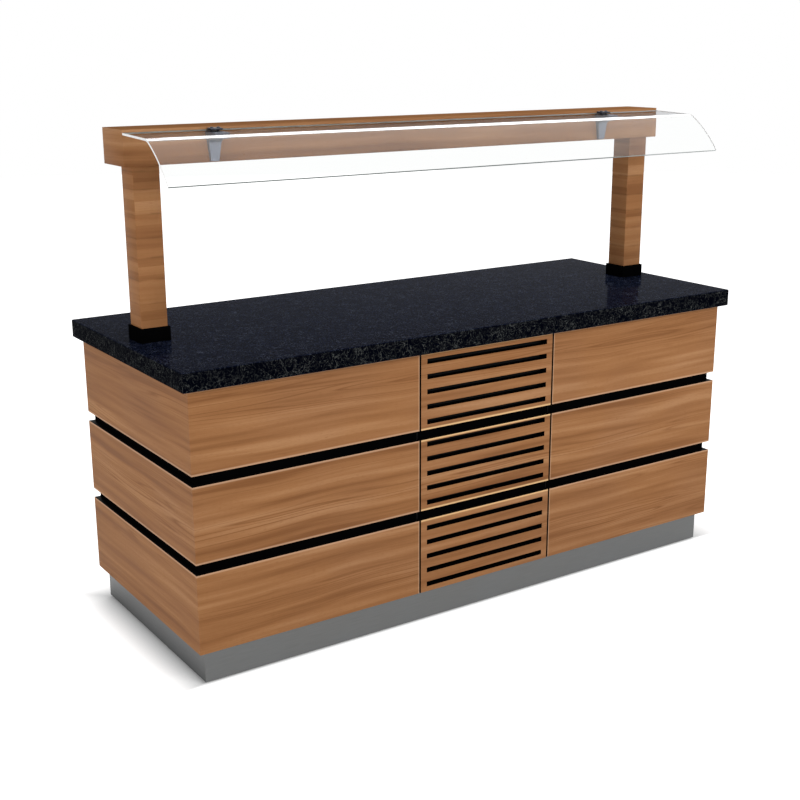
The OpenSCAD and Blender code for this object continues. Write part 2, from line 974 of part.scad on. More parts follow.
module compressor() {
  foot = [pot_r + 22, pot_r + 4];
  grommet_r = 9;
  dome = 30;
  color("#1f2124")
    translate([pot_x, pot_y, floor_z]) {
      translate([0, 0, pot_lift]) {
        translate([0, 0, dome / 2]) cylinder(r = pot_r, h = pot_h - dome);
        cylinder(r1 = pot_r - dome / 2, r2 = pot_r, h = dome / 2);
        translate([0, 0, pot_h - dome / 2]) cylinder(r1 = pot_r, r2 = pot_r - dome / 2, h = dome / 2);
        translate([0, 0, pot_h]) cylinder(r = stub_r, h = stub_l);
      }
      translate([0, 0, discharge_z - floor_z]) rod_x(stub_r, [0, pot_r + stub_l]);
      span([-foot.x, foot.x], [-foot.y, foot.y], [pot_lift - 4, pot_lift]);
      for (x = [-1, 1], y = [-1, 1])
        translate([x * (foot.x - 12), y * (foot.y - 12), 0]) cylinder(r = grommet_r, h = pot_lift);
    }
}

// Finned block between two end plates that stand on the base
module condenser() {
  end_t = 3;
  foot_w = 20;
  pitch = (2 * condenser_x - 2 * end_t) / fin_count;
  z = floor_z + condenser_lift;
  y = [condenser_y, condenser_y + condenser_d];
  fin_y = 14;
  color("#9da3a5") {
    difference() {
      span([-condenser_x, condenser_x], y, [z, z + condenser_h]);
      for (i = [0 : fin_count - 1], face = [0, 1])
        translate([-condenser_x + end_t + i * pitch, face * (condenser_d - fin_y + 1), 0])
          span([fin_t, pitch], [y[0] - 1, y[0] - 1 + fin_y], [z + end_t, z + condenser_h - end_t]);
    }
    both_ends() {
      span([condenser_x - end_t, condenser_x], y, [floor_z, z + 1]);
      span([condenser_x - end_t, condenser_x + foot_w], y, [floor_z, floor_z + end_t]);
    }
  }
}

// Shroud behind the condenser, and the motor held in its mouth by four arms
module fan_housing() {
  front_y = condenser_y + condenser_d;
  back_y = front_y + shroud_d;
  motor_y = fan_y + hub_l / 2 + motor_gap;
  arm_w = 10;
  arm_d = 4;
  color("#2a2c2f")
    difference() {
      union() {
        difference() {
          union() {
            span([-condenser_x, condenser_x], [front_y, front_y + shroud_t],
                 [fan_z - condenser_h / 2, fan_z + condenser_h / 2]);
            translate([0, 0, fan_z]) rod_y(fan_r + fan_gap + shroud_t, [front_y, back_y]);
          }
          translate([0, 0, fan_z]) rod_y(fan_r + fan_gap, [front_y - 1, back_y + 1]);
        }
        translate([0, 0, fan_z]) {
          rod_y(motor_r, [motor_y, motor_y + motor_l]);
          for (a = [45 : 90 : 315])
            rotate([0, a, 0])
              span([motor_r - 2, fan_r + fan_gap + shroud_t - 0.5], [back_y - arm_d, back_y],
                   [-arm_w / 2, arm_w / 2]);
        }
      }
      translate([0, 0, fan_z]) rod_y(shaft_r + running, [motor_y - 1, motor_y + shaft_l + 1]);
    }
}

// Hub, pitched blades and the shaft that runs in the motor
module fan() {
  pitch_angle = 32;
  blade_w = 34;
  blade_t = 2.5;
  color("#3a3d42")
    translate([0, fan_y, fan_z]) {
      rod_y(hub_r, [-hub_l / 2, hub_l / 2]);
      rod_y(shaft_r, [0, hub_l / 2 + motor_gap + shaft_l]);
      for (i = [0 : blade_count - 1])
        rotate([0, i * 360 / blade_count, 0])
          intersection() {
            rotate([pitch_angle, 0, 0])
              span([hub_r - 2, fan_r + 5], [-blade_t / 2, blade_t / 2],
                   [-blade_w / 2, blade_w / 2]);
            rod_y(fan_r, [-hub_l / 2, hub_l / 2]);
          }
    }
}

// Suction, discharge and liquid lines, each in square bends
module pipework() {
  suction_y = row_y(0);
  liquid_y = row_y(row_count - 1);
  fan_side_x = condenser_x + 40;
  inlet_y = condenser_y + condenser_d / 2;
  run_z = floor_z + 440;
  high_z = fan_z + 90;
  low_z = fan_z - 90;
  runs = [
    [[-drop_x, suction_y, drop_z], [-drop_x, suction_y, run_z], [-drop_x, pot_y, run_z],
     [pot_x, pot_y, floor_z + pot_lift + pot_h + stub_l]],
    [[pot_x + pot_r + stub_l, pot_y, discharge_z], [fan_side_x, pot_y, discharge_z],
     [fan_side_x, pot_y, high_z], [fan_side_x, inlet_y, high_z], [condenser_x, inlet_y, high_z]],
    [[condenser_x, inlet_y, low_z], [fan_side_x, inlet_y, low_z], [fan_side_x, liquid_y, low_z],
     [fan_side_x, liquid_y, run_z], [drop_x, liquid_y, run_z], [drop_x, liquid_y, drop_z]]
  ];
  color(copper)
    for (run = runs)
      tube_path(run, [for (i = [2 : len(run) - 1]) pipe_bend], tube_r);
}

// ---------------------------------------------------------------- controls

// Centres of the pieces on the control panel, in X and Z
display_at = [55, panel_z];
display_size = [64, 56];
button_z = panel_z - 18;
button_step = 18;
inlet_at = [-55, panel_z];
inlet_size = [70, 34];
inlet_body_margin = 3;
socket_at = inlet_at - [15, 0];
socket_size = [24, 16.4];
socket_d = 17;
rocker_at = inlet_at + [15, 0];
rocker_w = 13.4;
rocker_face = 8;
rocker_tilt = 8;
rocker_pin_r = 1.25;
rocker_y = face_y - 6;

// A box on the panel, by its centre and size in X and Z
module on_panel(at, size, y) {
  span([at.x - size.x / 2, at.x + size.x / 2], y, [at.y - size.y / 2, at.y + size.y / 2]);
}

module control_panel() {
  at = [0, panel_z];
  outer = [panel_w - 2 * box_margin, panel_h - 2 * box_margin];
  wall = [2 * box_wall, 2 * box_wall];
  body_gap = [2 * inlet_body_margin - 2 * fit_gap, 2 * inlet_body_margin - 2 * fit_gap];
  color(bright_steel)
    difference() {
      union() {
        on_panel(at, [panel_w, panel_h], [panel_y, face_y]);
        on_panel(at, outer, [panel_y - box_d, panel_y + 1]);
      }
      on_panel(at, outer - wall, [panel_y - box_d + box_wall, panel_y]);
      on_panel(display_at, display_size - body_gap, [panel_y - 1, face_y + 1]);
      on_panel(inlet_at, inlet_size - body_gap, [panel_y - 1, face_y + 1]);
    }
}

// Thermostat: bezel, body, dark window and the wells of its three buttons
module display() {
  body = display_size - [2 * inlet_body_margin, 2 * inlet_body_margin];
  window_at = display_at + [0, 10];
  color("#202225")
    difference() {
      union() {
        on_panel(display_at, display_size, [face_y, face_y + bezel_t]);
        on_panel(display_at, body, [panel_y - box_d + box_wall, face_y + 1]);
      }
      on_panel(window_at, [50, 20], [face_y + bezel_t - 1, face_y + bezel_t + 1]);
      for (i = [-1 : 1])
        translate([display_at.x + i * button_step, 0, button_z]) {
          rod_y(button_r + button_clear, [face_y - 2, face_y + bezel_t + 1]);
          rod_y(button_r + 2, [face_y - 6, face_y - 1]);
        }
    }
}

// A push-button with the collar that keeps it in its well
module button(i) {
  color("#c9ccce")
    translate([display_at.x + i * button_step, 0, button_z]) {
      rod_y(button_r, [face_y - 3, face_y + bezel_t + 1.2]);
      rod_y(button_r + 1.5, [face_y - 3.2, face_y - 1 - fit_gap]);
    }
}

module button_light() {
  button(1);
}

module button_up() {
  button(0);
}

module button_down() {
  button(-1);
}

// Mains inlet and switch housing in one moulding
module power_inlet() {
  body = inlet_size - [2 * inlet_body_margin, 2 * inlet_body_margin];
  mouth_y = face_y + panel_t;
  socket_floor = mouth_y - socket_d;
  pins = [[-7, -2], [7, -2], [0, 2]];
  color("#17181a") {
    difference() {
      union() {
        on_panel(inlet_at, inlet_size, [face_y, mouth_y]);
        on_panel(inlet_at, body, [face_y - 32, face_y + 1]);
      }
      on_panel(socket_at, socket_size, [socket_floor, mouth_y + 1]);
      on_panel(rocker_at, [rocker_w + 2 * fit_gap, 22.6], [rocker_y - 9, mouth_y + 1]);
      translate([0, rocker_y, rocker_at.y])
        rod_x(rocker_pin_r + running, [rocker_at.x - rocker_w / 2 - 2, rocker_at.x + rocker_w / 2 + 2]);
    }
    for (pin = pins)
      on_panel(socket_at + pin, [2, 4], [socket_floor - 1, socket_floor + 11]);
  }
}

// Switch rocker on two short pins, drawn tilted to its first stop
module power_rocker() {
  pin_l = 1.5;
  color("#8c1f1b")
    translate([rocker_at.x, rocker_y, rocker_at.y]) {
      rotate([rocker_tilt, 0, 0])
        extrude_x([-rocker_w / 2, rocker_w / 2])
          polygon([[-4, -3], [5, -10], [rocker_face, -9.8], [rocker_face - 1.5, 0],
                   [rocker_face, 9.8], [5, 10], [-4, 3]]);
      rod_x(rocker_pin_r, [-rocker_w / 2 - pin_l, rocker_w / 2 + pin_l]);
    }
}

// ---------------------------------------------------------------- castors

// A place for a castor: side -1 or 1 along X, row -1 (front) or 1 (back)
module at_castor(side, row) {
  translate([side * castor_x, row * castor_y, 0]) children();
}

// Fixed top plate with the race, the swivel pin and its riveted head
module castor_plate_body() {
  difference() {
    span([-castor_plate.x / 2, castor_plate.x / 2], [-castor_plate.y / 2, castor_plate.y / 2],
         [plate_z, plinth_h]);
    for (x = [-1, 1], y = [-1, 1])
      translate([x * castor_bolt.x, y * castor_bolt.y, plate_z - 1])
        cylinder(r = castor_bolt_r, h = castor_plate_t + 2);
  }
  translate([0, 0, plate_z - race_h]) cylinder(r = race_r, h = race_h);
  translate([0, 0, king_head_z]) cylinder(r = king_r, h = plate_z - king_head_z);
  translate([0, 0, king_head_z]) cylinder(r = king_head_r, h = king_head_h);
}

module castor_plates() {
  color(bright_steel)
    for (side = [-1, 1], row = [-1, 1]) at_castor(side, row) castor_plate_body();
}

// Side view of a fork leg, from the crown down to the axle
module leg_outline() {
  eye = 10;
  translate([-castor_trail, axle_z]) circle(eye);
  polygon([
    [crown_r - 4, crown_top], [pedal_x - 6, crown_top], [pedal_x - 6, crown_z - 2],
    [-castor_trail - eye, axle_z], [-castor_trail + eye, axle_z], [crown_r - 4, crown_z - 2]
  ]);
}

module castor_fork() {
  bolt_y = leg_y + leg_t;
  color(bright_steel) {
    difference() {
      union() {
        translate([0, 0, crown_z]) cylinder(r = crown_r, h = crown_top - crown_z);
        for (side = [-1, 1])
          extrude_y(side < 0 ? [-bolt_y, -leg_y] : [leg_y, bolt_y]) leg_outline();
      }
      translate([0, 0, crown_z - 1]) cylinder(r = king_r + running, h = crown_top - crown_z + 2);
      translate([-castor_trail, 0, axle_z]) rod_y(axle_r + running, [-bolt_y - 1, bolt_y + 1]);
      translate([pedal_x, 0, pedal_z])
        rod_y(pedal_pin_r + running, [-bolt_y - 1, bolt_y + 1]);
    }
    translate([-castor_trail, 0, axle_z]) {
      rod_y(axle_r, [-bolt_y, bolt_y]);
      rod_y(axle_r + 3, [-bolt_y - 4, -bolt_y]);
      rod_y(axle_r + 3, [bolt_y, bolt_y + 4]);
    }
  }
}

module castor_wheel() {
  half = wheel_w / 2;
  r = wheel_d / 2;
  shoulder = 3;
  color("#3b3d40")
    translate([-castor_trail, 0, axle_z])
      difference() {
        union() {
          rod_y(r, [-half + shoulder, half - shoulder]);
          for (side = [-1, 1])
            rotate([side * 90, 0, 0])
              translate([0, 0, half - shoulder]) cylinder(r1 = r, r2 = r - shoulder, h = shoulder);
        }
        for (side = [-1, 1])
          rotate([side * 90, 0, 0])
            translate([0, 0, half - hub_recess])
              difference() {
                cylinder(r = r - 10, h = hub_recess + 1);
                translate([0, 0, -1]) cylinder(r = axle_r + 6, h = hub_recess + 3);
              }
        rod_y(axle_r + running, [-half - 1, half + 1]);
      }
}

// Foot lever between the fork's legs, with the pad that meets the tread
module brake_pedal() {
  half = leg_y - pedal_side_gap;
  pin_half = leg_y + leg_t - 0.5;
  color("#b0352b") {
    extrude_y([-half, half])
      polygon([
        [pedal_x + 5, pedal_z - 4], [pedal_x + 5, pedal_z + 3], [pedal_tip + 3, pedal_z + 3],
        [pedal_tip, pedal_z], [pedal_tip, pedal_z - pedal_t + 3],
        [pad_x[0], pedal_z - pedal_t + 1], [pad_x[0], pedal_z - pad_drop],
        [pad_x[1], pedal_z - pad_drop + 5], [pad_x[1] + 3, pedal_z - 4]
      ]);
    translate([pedal_x, 0, pedal_z]) rod_y(pedal_pin_r, [-pin_half, pin_half]);
  }
}

module castor_fork_front_left() {
  at_castor(-1, -1) castor_fork();
}

module castor_fork_front_right() {
  at_castor(1, -1) castor_fork();
}

module castor_fork_rear_left() {
  at_castor(-1, 1) castor_fork();
}

module castor_fork_rear_right() {
  at_castor(1, 1) castor_fork();
}

module castor_wheel_front_left() {
  at_castor(-1, -1) castor_wheel();
}

module castor_wheel_front_right() {
  at_castor(1, -1) castor_wheel();
}

module castor_wheel_rear_left() {
  at_castor(-1, 1) castor_wheel();
}

module castor_wheel_rear_right() {
  at_castor(1, 1) castor_wheel();
}

module brake_pedal_front_left() {
  at_castor(-1, -1) brake_pedal();
}

module brake_pedal_front_right() {
  at_castor(1, -1) brake_pedal();
}

// ---------------------------------------------------------------- assembly

worktop();
evaporator_plate();
evaporator_coil();
insulation_tray();
chassis();
base_panel();
end_walls();
front_walls();
rear_wall();
partitions();
fascia_front_left();
fascia_front_right();
fascia_end_left();
fascia_end_right();
fascia_rear();
rear_column_boards();
door_panel();
door_grille_top();
door_grille_middle();
door_grille_bottom();
air_filter();
door_pins();
door_pivots();
door_catch();
plinth_front();
plinth_rear();
plinth_ends();
post_left();
post_right();
post_cores();
post_collars();
beam();
light_bar();
glass_guard();
guard_brackets();
guard_gaskets();
guard_fixings();
compressor();
condenser();
fan_housing();
fan();
pipework();
control_panel();
display();
button_light();
button_up();
button_down();
power_inlet();
power_rocker();
castor_plates();
castor_fork_front_left();
castor_fork_front_right();
castor_fork_rear_left();
castor_fork_rear_right();
castor_wheel_front_left();
castor_wheel_front_right();
castor_wheel_rear_left();
castor_wheel_rear_right();
brake_pedal_front_left();
brake_pedal_front_right();
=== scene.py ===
"""Looks for a mobile refrigerated salad bar: a granite serving top on a timber-clad
cabinet, slotted grilles, a timber gantry and a bent glass sneeze guard.

Metres, in the frame of the packed model: X along the counter, -Y the guests' side."""

import math
from types import SimpleNamespace

import bmesh
import bpy
from mathutils import Matrix, Vector


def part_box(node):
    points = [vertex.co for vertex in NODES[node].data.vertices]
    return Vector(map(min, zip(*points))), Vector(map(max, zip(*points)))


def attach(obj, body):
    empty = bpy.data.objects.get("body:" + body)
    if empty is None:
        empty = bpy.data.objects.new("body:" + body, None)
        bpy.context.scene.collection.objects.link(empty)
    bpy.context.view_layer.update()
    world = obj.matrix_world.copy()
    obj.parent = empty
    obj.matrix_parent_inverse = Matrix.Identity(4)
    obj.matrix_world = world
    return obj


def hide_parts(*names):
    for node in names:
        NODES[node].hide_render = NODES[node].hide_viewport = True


bl_info = {
    "name": "Mobile Salad Bar",
    "version": (1, 0, 0),
    "blender": (4, 5, 0),
    "location": "View3D > Sidebar > Salad Bar",
    "description": "Pieces and finishes of a refrigerated salad bar on castors",
    "category": "Object",
}

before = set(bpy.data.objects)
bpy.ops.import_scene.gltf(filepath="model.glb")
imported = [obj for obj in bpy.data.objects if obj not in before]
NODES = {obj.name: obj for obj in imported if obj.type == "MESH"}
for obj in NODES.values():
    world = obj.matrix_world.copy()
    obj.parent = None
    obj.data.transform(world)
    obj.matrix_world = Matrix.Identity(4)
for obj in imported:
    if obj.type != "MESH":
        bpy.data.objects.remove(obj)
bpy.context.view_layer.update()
MM = 0.001

# Places that several pieces share, all from the frame
TIER_NAMES = ("bottom", "middle", "top")
TIERS = [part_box("door_grille_" + name) for name in TIER_NAMES]
TIERS = [(low.z, high.z) for low, high in TIERS]
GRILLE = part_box("door_grille_top")
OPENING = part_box("fascia_front_right")[0].x
FLOOR_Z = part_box("base_panel")[1].z

# What several pieces share beside that, in metres, radians and shares
DISCHARGE_Z = FLOOR_Z + 0.090
CONDENSER_FOOT = 0.020
FRONT, BACK = 0.0, math.pi
VENEER_SHINE = 0.03


# ------------------------------------------------------------------ settings


def length(name, text, default):
    return bpy.props.FloatProperty(
        name=name, description=text, default=default, min=0, precision=4,
        unit="LENGTH", subtype="DISTANCE",
    )


def turn(name, text, degrees):
    return bpy.props.FloatProperty(
        name=name, description=text, default=math.radians(degrees),
        unit="ROTATION", subtype="ANGLE",
    )


def amount(name, text, default):
    return bpy.props.FloatProperty(name=name, description=text, default=default, min=0)


def count(name, text, default):
    return bpy.props.IntProperty(name=name, description=text, default=default, min=1)


def colour(name, text, default):
    return bpy.props.FloatVectorProperty(
        name=name, description=text, default=default, size=3, min=0, max=1, subtype="COLOR",
    )


class StageSettings(bpy.types.PropertyGroup):
    """Camera, lamps and floor."""

    eye: bpy.props.FloatVectorProperty(
        name="Camera place", description="Where the camera stands",
        default=(-2.2628, -3.2762, 1.7060), size=3, unit="LENGTH", subtype="XYZ",
    )
    yaw: turn("Camera yaw", "Turn from +Y towards +X", 33.80)
    pitch: turn("Camera pitch", "Turn below the horizon", 15.73)
    roll: turn("Camera roll", "Turn about the line of sight", -0.17)
    lens: amount("Lens", "Focal length in millimetres on a 36 mm frame", 56.90)
    ambient: amount("Ambient light", "World light that falls on the object", 0.40)
    key_power: amount("Key light", "Power of the soft box over the guests' side, in watts", 156)
    side_power: amount("Side light", "Power of the low soft box at the left end, in watts", 57)
    rear_power: amount("Rear light", "Power of the soft box over the staff side, in watts", 50)
    floor_radius: length("Floor radius", "Radius of the round floor", 14)
    shade_width: length("Shade width", "Width of the shade on the floor at the left end", 0.12)
    shade_lean: amount("Shade lean", "How many times wider the shade is at the right end", 1.9)


class FinishSettings(bpy.types.PropertyGroup):
    """Colours of the main finishes."""

    veneer_dark: colour("Veneer, dark grain", "Darkest streaks", (0.235, 0.098, 0.037))
    veneer_mid: colour("Veneer, middle", "Ground colour", (0.315, 0.141, 0.056))
    veneer_warm: colour("Veneer, warm", "Warm streaks", (0.365, 0.170, 0.070))
    veneer_light: colour("Veneer, light", "Lightest streaks", (0.440, 0.224, 0.102))
    granite: colour("Granite", "Ground colour of the slab", (0.0019, 0.0030, 0.0085))
    fleck: colour("Granite flecks", "Flecks on the slab's sawn edges", (0.078, 0.083, 0.080))
    fleck_top: colour("Granite flecks, top", "Flecks on its polished top", (0.066, 0.078, 0.115))
    board: colour("Black board", "Carcass walls and collars", (0.0015, 0.0015, 0.0017))
    plinth: colour("Plinth steel", "Brushed sheet", (0.124, 0.126, 0.125))
    bracket: colour("Bracket steel", "Glass brackets", (0.165, 0.18, 0.225))
    glass: colour("Glass", "Tint of the guard", (0.985, 0.995, 0.99))
    glass_edge: colour("Glass edge", "Ground edges of the guard", (0.30, 0.36, 0.35))
    copper: colour("Copper", "Tubes", (0.72, 0.33, 0.19))


class GrilleSettings(bpy.types.PropertyGroup):
    """Air slots in the middle column's boards."""

    slot_length: length("Slot length", "Length of one air slot", 0.450)
    slot_height: length("Slot height", "Height of one air slot", 0.0155)
    pitch: length("Slot pitch", "Distance from one slot to the next", 0.0455)
    margin: length("Slot margin", "Wood below the lowest slot", 0.016)
    rail: length("Top rail", "Least wood above the highest slot", 0.007)
    wire_pitch: length("Filter mesh", "Distance between the filter's wires", 0.006)


class GuardSettings(bpy.types.PropertyGroup):
    """The bent glass and what holds it."""

    thickness: length("Thickness", "Thickness of the glass", 0.006)
    drop: length("Drop", "From the beam's top down to the back edge", 0.008)
    gap: length("Gap", "From the beam to the back edge", 0.001)
    tilt: turn("Tilt", "Fall of the flat part", 2.2)
    flat: length("Flat part", "Length of the flat part", 0.150)
    bend_radius: length("Bend radius", "Outer radius of the sharp bend", 0.045)
    bend_turn: turn("Bend", "Turn of the sharp bend", 30)
    curve_radius: length("Curve radius", "Outer radius of the curved front", 0.400)
    curve_turn: turn("Curve", "Turn of the curved front", 22)
    rows: count("Rows", "Rows of faces from the back edge to the front", 240)
    bracket_place: length("Bracket place", "Brackets, either side of the middle", 0.715)


class MachineSettings(bpy.types.PropertyGroup):
    """The condensing unit and its tubes."""

    fins: count("Fins", "Fins in the condenser", 92)
    blades: count("Blades", "Blades of the fan", 5)
    fan_radius: length("Fan radius", "Radius to the blade tips", 0.090)
    pot_radius: length("Compressor radius", "Radius of the compressor's shell", 0.085)
    tube_radius: length("Tube radius", "Radius of the copper tubes", 0.00475)
    tube_bend: length("Tube bend", "Radius of the tubes' bends", 0.020)


GROUPS = {
    "salad_stage": StageSettings,
    "salad_finish": FinishSettings,
    "salad_grille": GrilleSettings,
    "salad_guard": GuardSettings,
    "salad_machine": MachineSettings,
}


# ------------------------------------------------------------------ nodes


def maths(operation, turned=False):
    """A method that puts a Math node on a value, or on a value and another."""

    def method(value, *other):
        return value.nodes.calc(operation, *((*other, value) if turned else (value, *other)))

    return method


class Value:
    """A node's output, which takes part in sums like a plain number."""

    def __init__(self, nodes, socket):
        self.nodes = nodes
        self.socket = socket

    __add__ = __radd__ = maths("ADD")
    __mul__ = __rmul__ = maths("MULTIPLY")
    __sub__, __rsub__ = maths("SUBTRACT"), maths("SUBTRACT", True)
    __truediv__, __rtruediv__ = maths("DIVIDE"), maths("DIVIDE", True)
    __lt__, __gt__ = maths("LESS_THAN"), maths("GREATER_THAN")
    __abs__ = maths("ABSOLUTE")


class Nodes:
    """Nodes being put together in one tree."""

    def __init__(self, tree):
        self.tree = tree

    def feed(self, socket, value):
        """Links another node's output to a socket, or sets the socket's own value."""
        value = value.socket if isinstance(value, Value) else value
        if isinstance(value, bpy.types.NodeSocket):
            self.tree.links.new(value, socket)
        elif socket.type == "RGBA":
            socket.default_value = (*value[:3], 1)
        else:
            socket.default_value = value

    def put(self, kind, inputs=(), **options):
        """Adds a node. Options with a capital feed its inputs, others are its settings."""
        node = self.tree.nodes.new(kind)
        inputs = dict(inputs)
        for name, value in options.items():
            if name[0].isupper():
                inputs[name.replace("_", " ")] = value
            else:
                setattr(node, name, value)
        for key, value in inputs.items():
            self.feed(node.inputs[key], value)
        return node

    def value(self, kind, inputs=(), output=0, **options):
        return Value(self, self.put(kind, inputs, **options).outputs[output])

    def calc(self, operation, *values):
        return self.value("ShaderNodeMath", enumerate(values), operation=operation)

    def triple(self, x, y, z):
        return self.value("ShaderNodeCombineXYZ", enumerate((x, y, z)))

    def parts(self, vector):
        outputs = self.put("ShaderNodeSeparateXYZ", {0: vector}).outputs
        return [Value(self, output) for output in outputs]


class Finish(Nodes):
    """A material being put together round one Principled shader."""

    def __init__(self, name, values):
        self.material = bpy.data.materials.new("finish_" + name)
        self.material.use_nodes = True
        super().__init__(self.material.node_tree)
        self.shader = self.tree.nodes["Principled BSDF"]
        for socket, value in values.items():
            self.set(socket, value)
        place = self.put("ShaderNodeTexCoord").outputs
        self.place, self.normal = place["Object"], place["Normal"]

    def set(self, socket, value):
        """Feeds one of the shader's inputs."""
        self.feed(self.shader.inputs[socket], value)

    def stretched(self, scale):
        """Object coordinates, stretched by a scale on each axis."""
        return self.value("ShaderNodeMapping", Vector=self.place, Scale=scale)

    def noise(self, place, scale=1.0, detail=2.0, distortion=0.0):
        return self.value(
            "ShaderNodeTexNoise", Vector=place, Scale=scale, Detail=detail, Distortion=distortion
        )

    def cells(self, output, **options):
        return self.value("ShaderNodeTexVoronoi", output=output, **options)

    def spread(self, value, low, high, to_low=0.0, to_high=1.0):
        """Maps a value from one range to another, clamped."""
        return self.value("ShaderNodeMapRange", enumerate((value, low, high, to_low, to_high)))

    def ramp(self, value, stops):
        node = self.put("ShaderNodeValToRGB", {0: value})
        elements = node.color_ramp.elements
        while len(elements) < len(stops):
            elements.new(1)
        for element, (place, tone) in zip(elements, stops):
            element.position = place
            element.color = (*tone[:3], 1)
        return node.outputs[0]

    def mix(self, share, first, second, blend="MIX"):
        inputs = {0: share, 6: first, 7: second}
        return self.value("ShaderNodeMix", inputs, 2, data_type="RGBA", blend_type=blend)

    def paint(self, value):
        self.set("Base Color", value)

    def rough(self, value, low, high):
        """Roughness that follows a pattern between two values."""
        self.set("Roughness", self.spread(value, 0.3, 0.7, low, high))

    def relief(self, height, depth):
        """Bump of the given depth from a pattern between 0 and 1."""
        bump = self.value("ShaderNodeBump", Height=height, Distance=depth, Strength=1.0)
        self.set("Normal", bump)


class Shape(Nodes):
    """A Geometry Nodes tree being put together, with named inputs."""

    def __init__(self, name, **inputs):
        super().__init__(bpy.data.node_groups.new(name, "GeometryNodeTree"))
        interface = self.tree.interface
        for side in ("INPUT", "OUTPUT"):
            interface.new_socket("Geometry", in_out=side, socket_type="NodeSocketGeometry")
        for label, kind in inputs.items():
            label, kind = label.replace("_", " "), "NodeSocket" + kind
            interface.new_socket(label, in_out="INPUT", socket_type=kind)
        outputs = self.tree.nodes.new("NodeGroupInput").outputs
        self.given = SimpleNamespace(**{
            output.name.lower().replace(" ", "_"): Value(self, output)
            for output in outputs if output.name
        })
        self.result = self.tree.nodes.new("NodeGroupOutput").inputs["Geometry"]

    def geo(self, kind, first=None, output=0, **options):
        """Output of a geometry node. first feeds its first input."""
        inputs = {} if first is None else {0: first}
        return self.put("GeometryNode" + kind, inputs, **options).outputs[output]

    def attribute(self, name, data_type):
        return self.geo("InputNamedAttribute", Name=name, data_type=data_type)

    def join(self, *parts):
        node = self.put("GeometryNodeJoinGeometry")
        for part in parts:
            self.feed(node.inputs[0], part)
        return node.outputs[0]

    def copies(self, points, turn=(0, 0, 0)):
        """The template at each point."""
        source = self.geo("ObjectInfo", output="Geometry", Object=self.given.template)
        return self.geo("InstanceOnPoints", Points=points, Instance=source, Rotation=turn)

    def doubled(self, sheet, raised):
        """A closed body from a sheet, turned over, and the sheet pulled out of it."""
        whole = self.join(self.geo("FlipFaces", sheet), raised)
        return self.geo("MergeByDistance", Geometry=whole, Distance=1e-5)

    def close(self, geometry, *finishes):
        """Realizes instances, sets the materials, each but the first on a selection."""
        geometry = self.geo("RealizeInstances", geometry)
        for material, selection in finishes:
            geometry = self.geo(
                "SetMaterial", Geometry=geometry, Selection=selection, Material=material
            )
        self.feed(self.result, geometry)
        return self.tree


def grown(tree, values, start=None):
    """The plain mesh that a tree makes, from a start mesh and values for its inputs."""
    name = tree.name + "_work"
    work = bpy.data.objects.new(name, start or bpy.data.meshes.new(name))
    bpy.context.scene.collection.objects.link(work)
    modifier = work.modifiers.new(tree.name, "NODES")
    modifier.node_group = tree
    for item in tree.interface.items_tree:
        if item.in_out == "INPUT" and item.name in values:
            modifier[item.identifier] = values[item.name]
    depsgraph = bpy.context.evaluated_depsgraph_get()
    mesh = bpy.data.meshes.new_from_object(work.evaluated_get(depsgraph), depsgraph=depsgraph)
    bpy.data.objects.remove(work)
    return mesh


MADE = {}


def once(maker, *options):
    """The material or tree that a maker gives for these options, made once."""
    key = (maker.__name__, *options)
    if key not in MADE:
        MADE[key] = maker(*options)
    return MADE[key]


# ------------------------------------------------------------------ finishes


def look():
    return bpy.context.scene.salad_finish


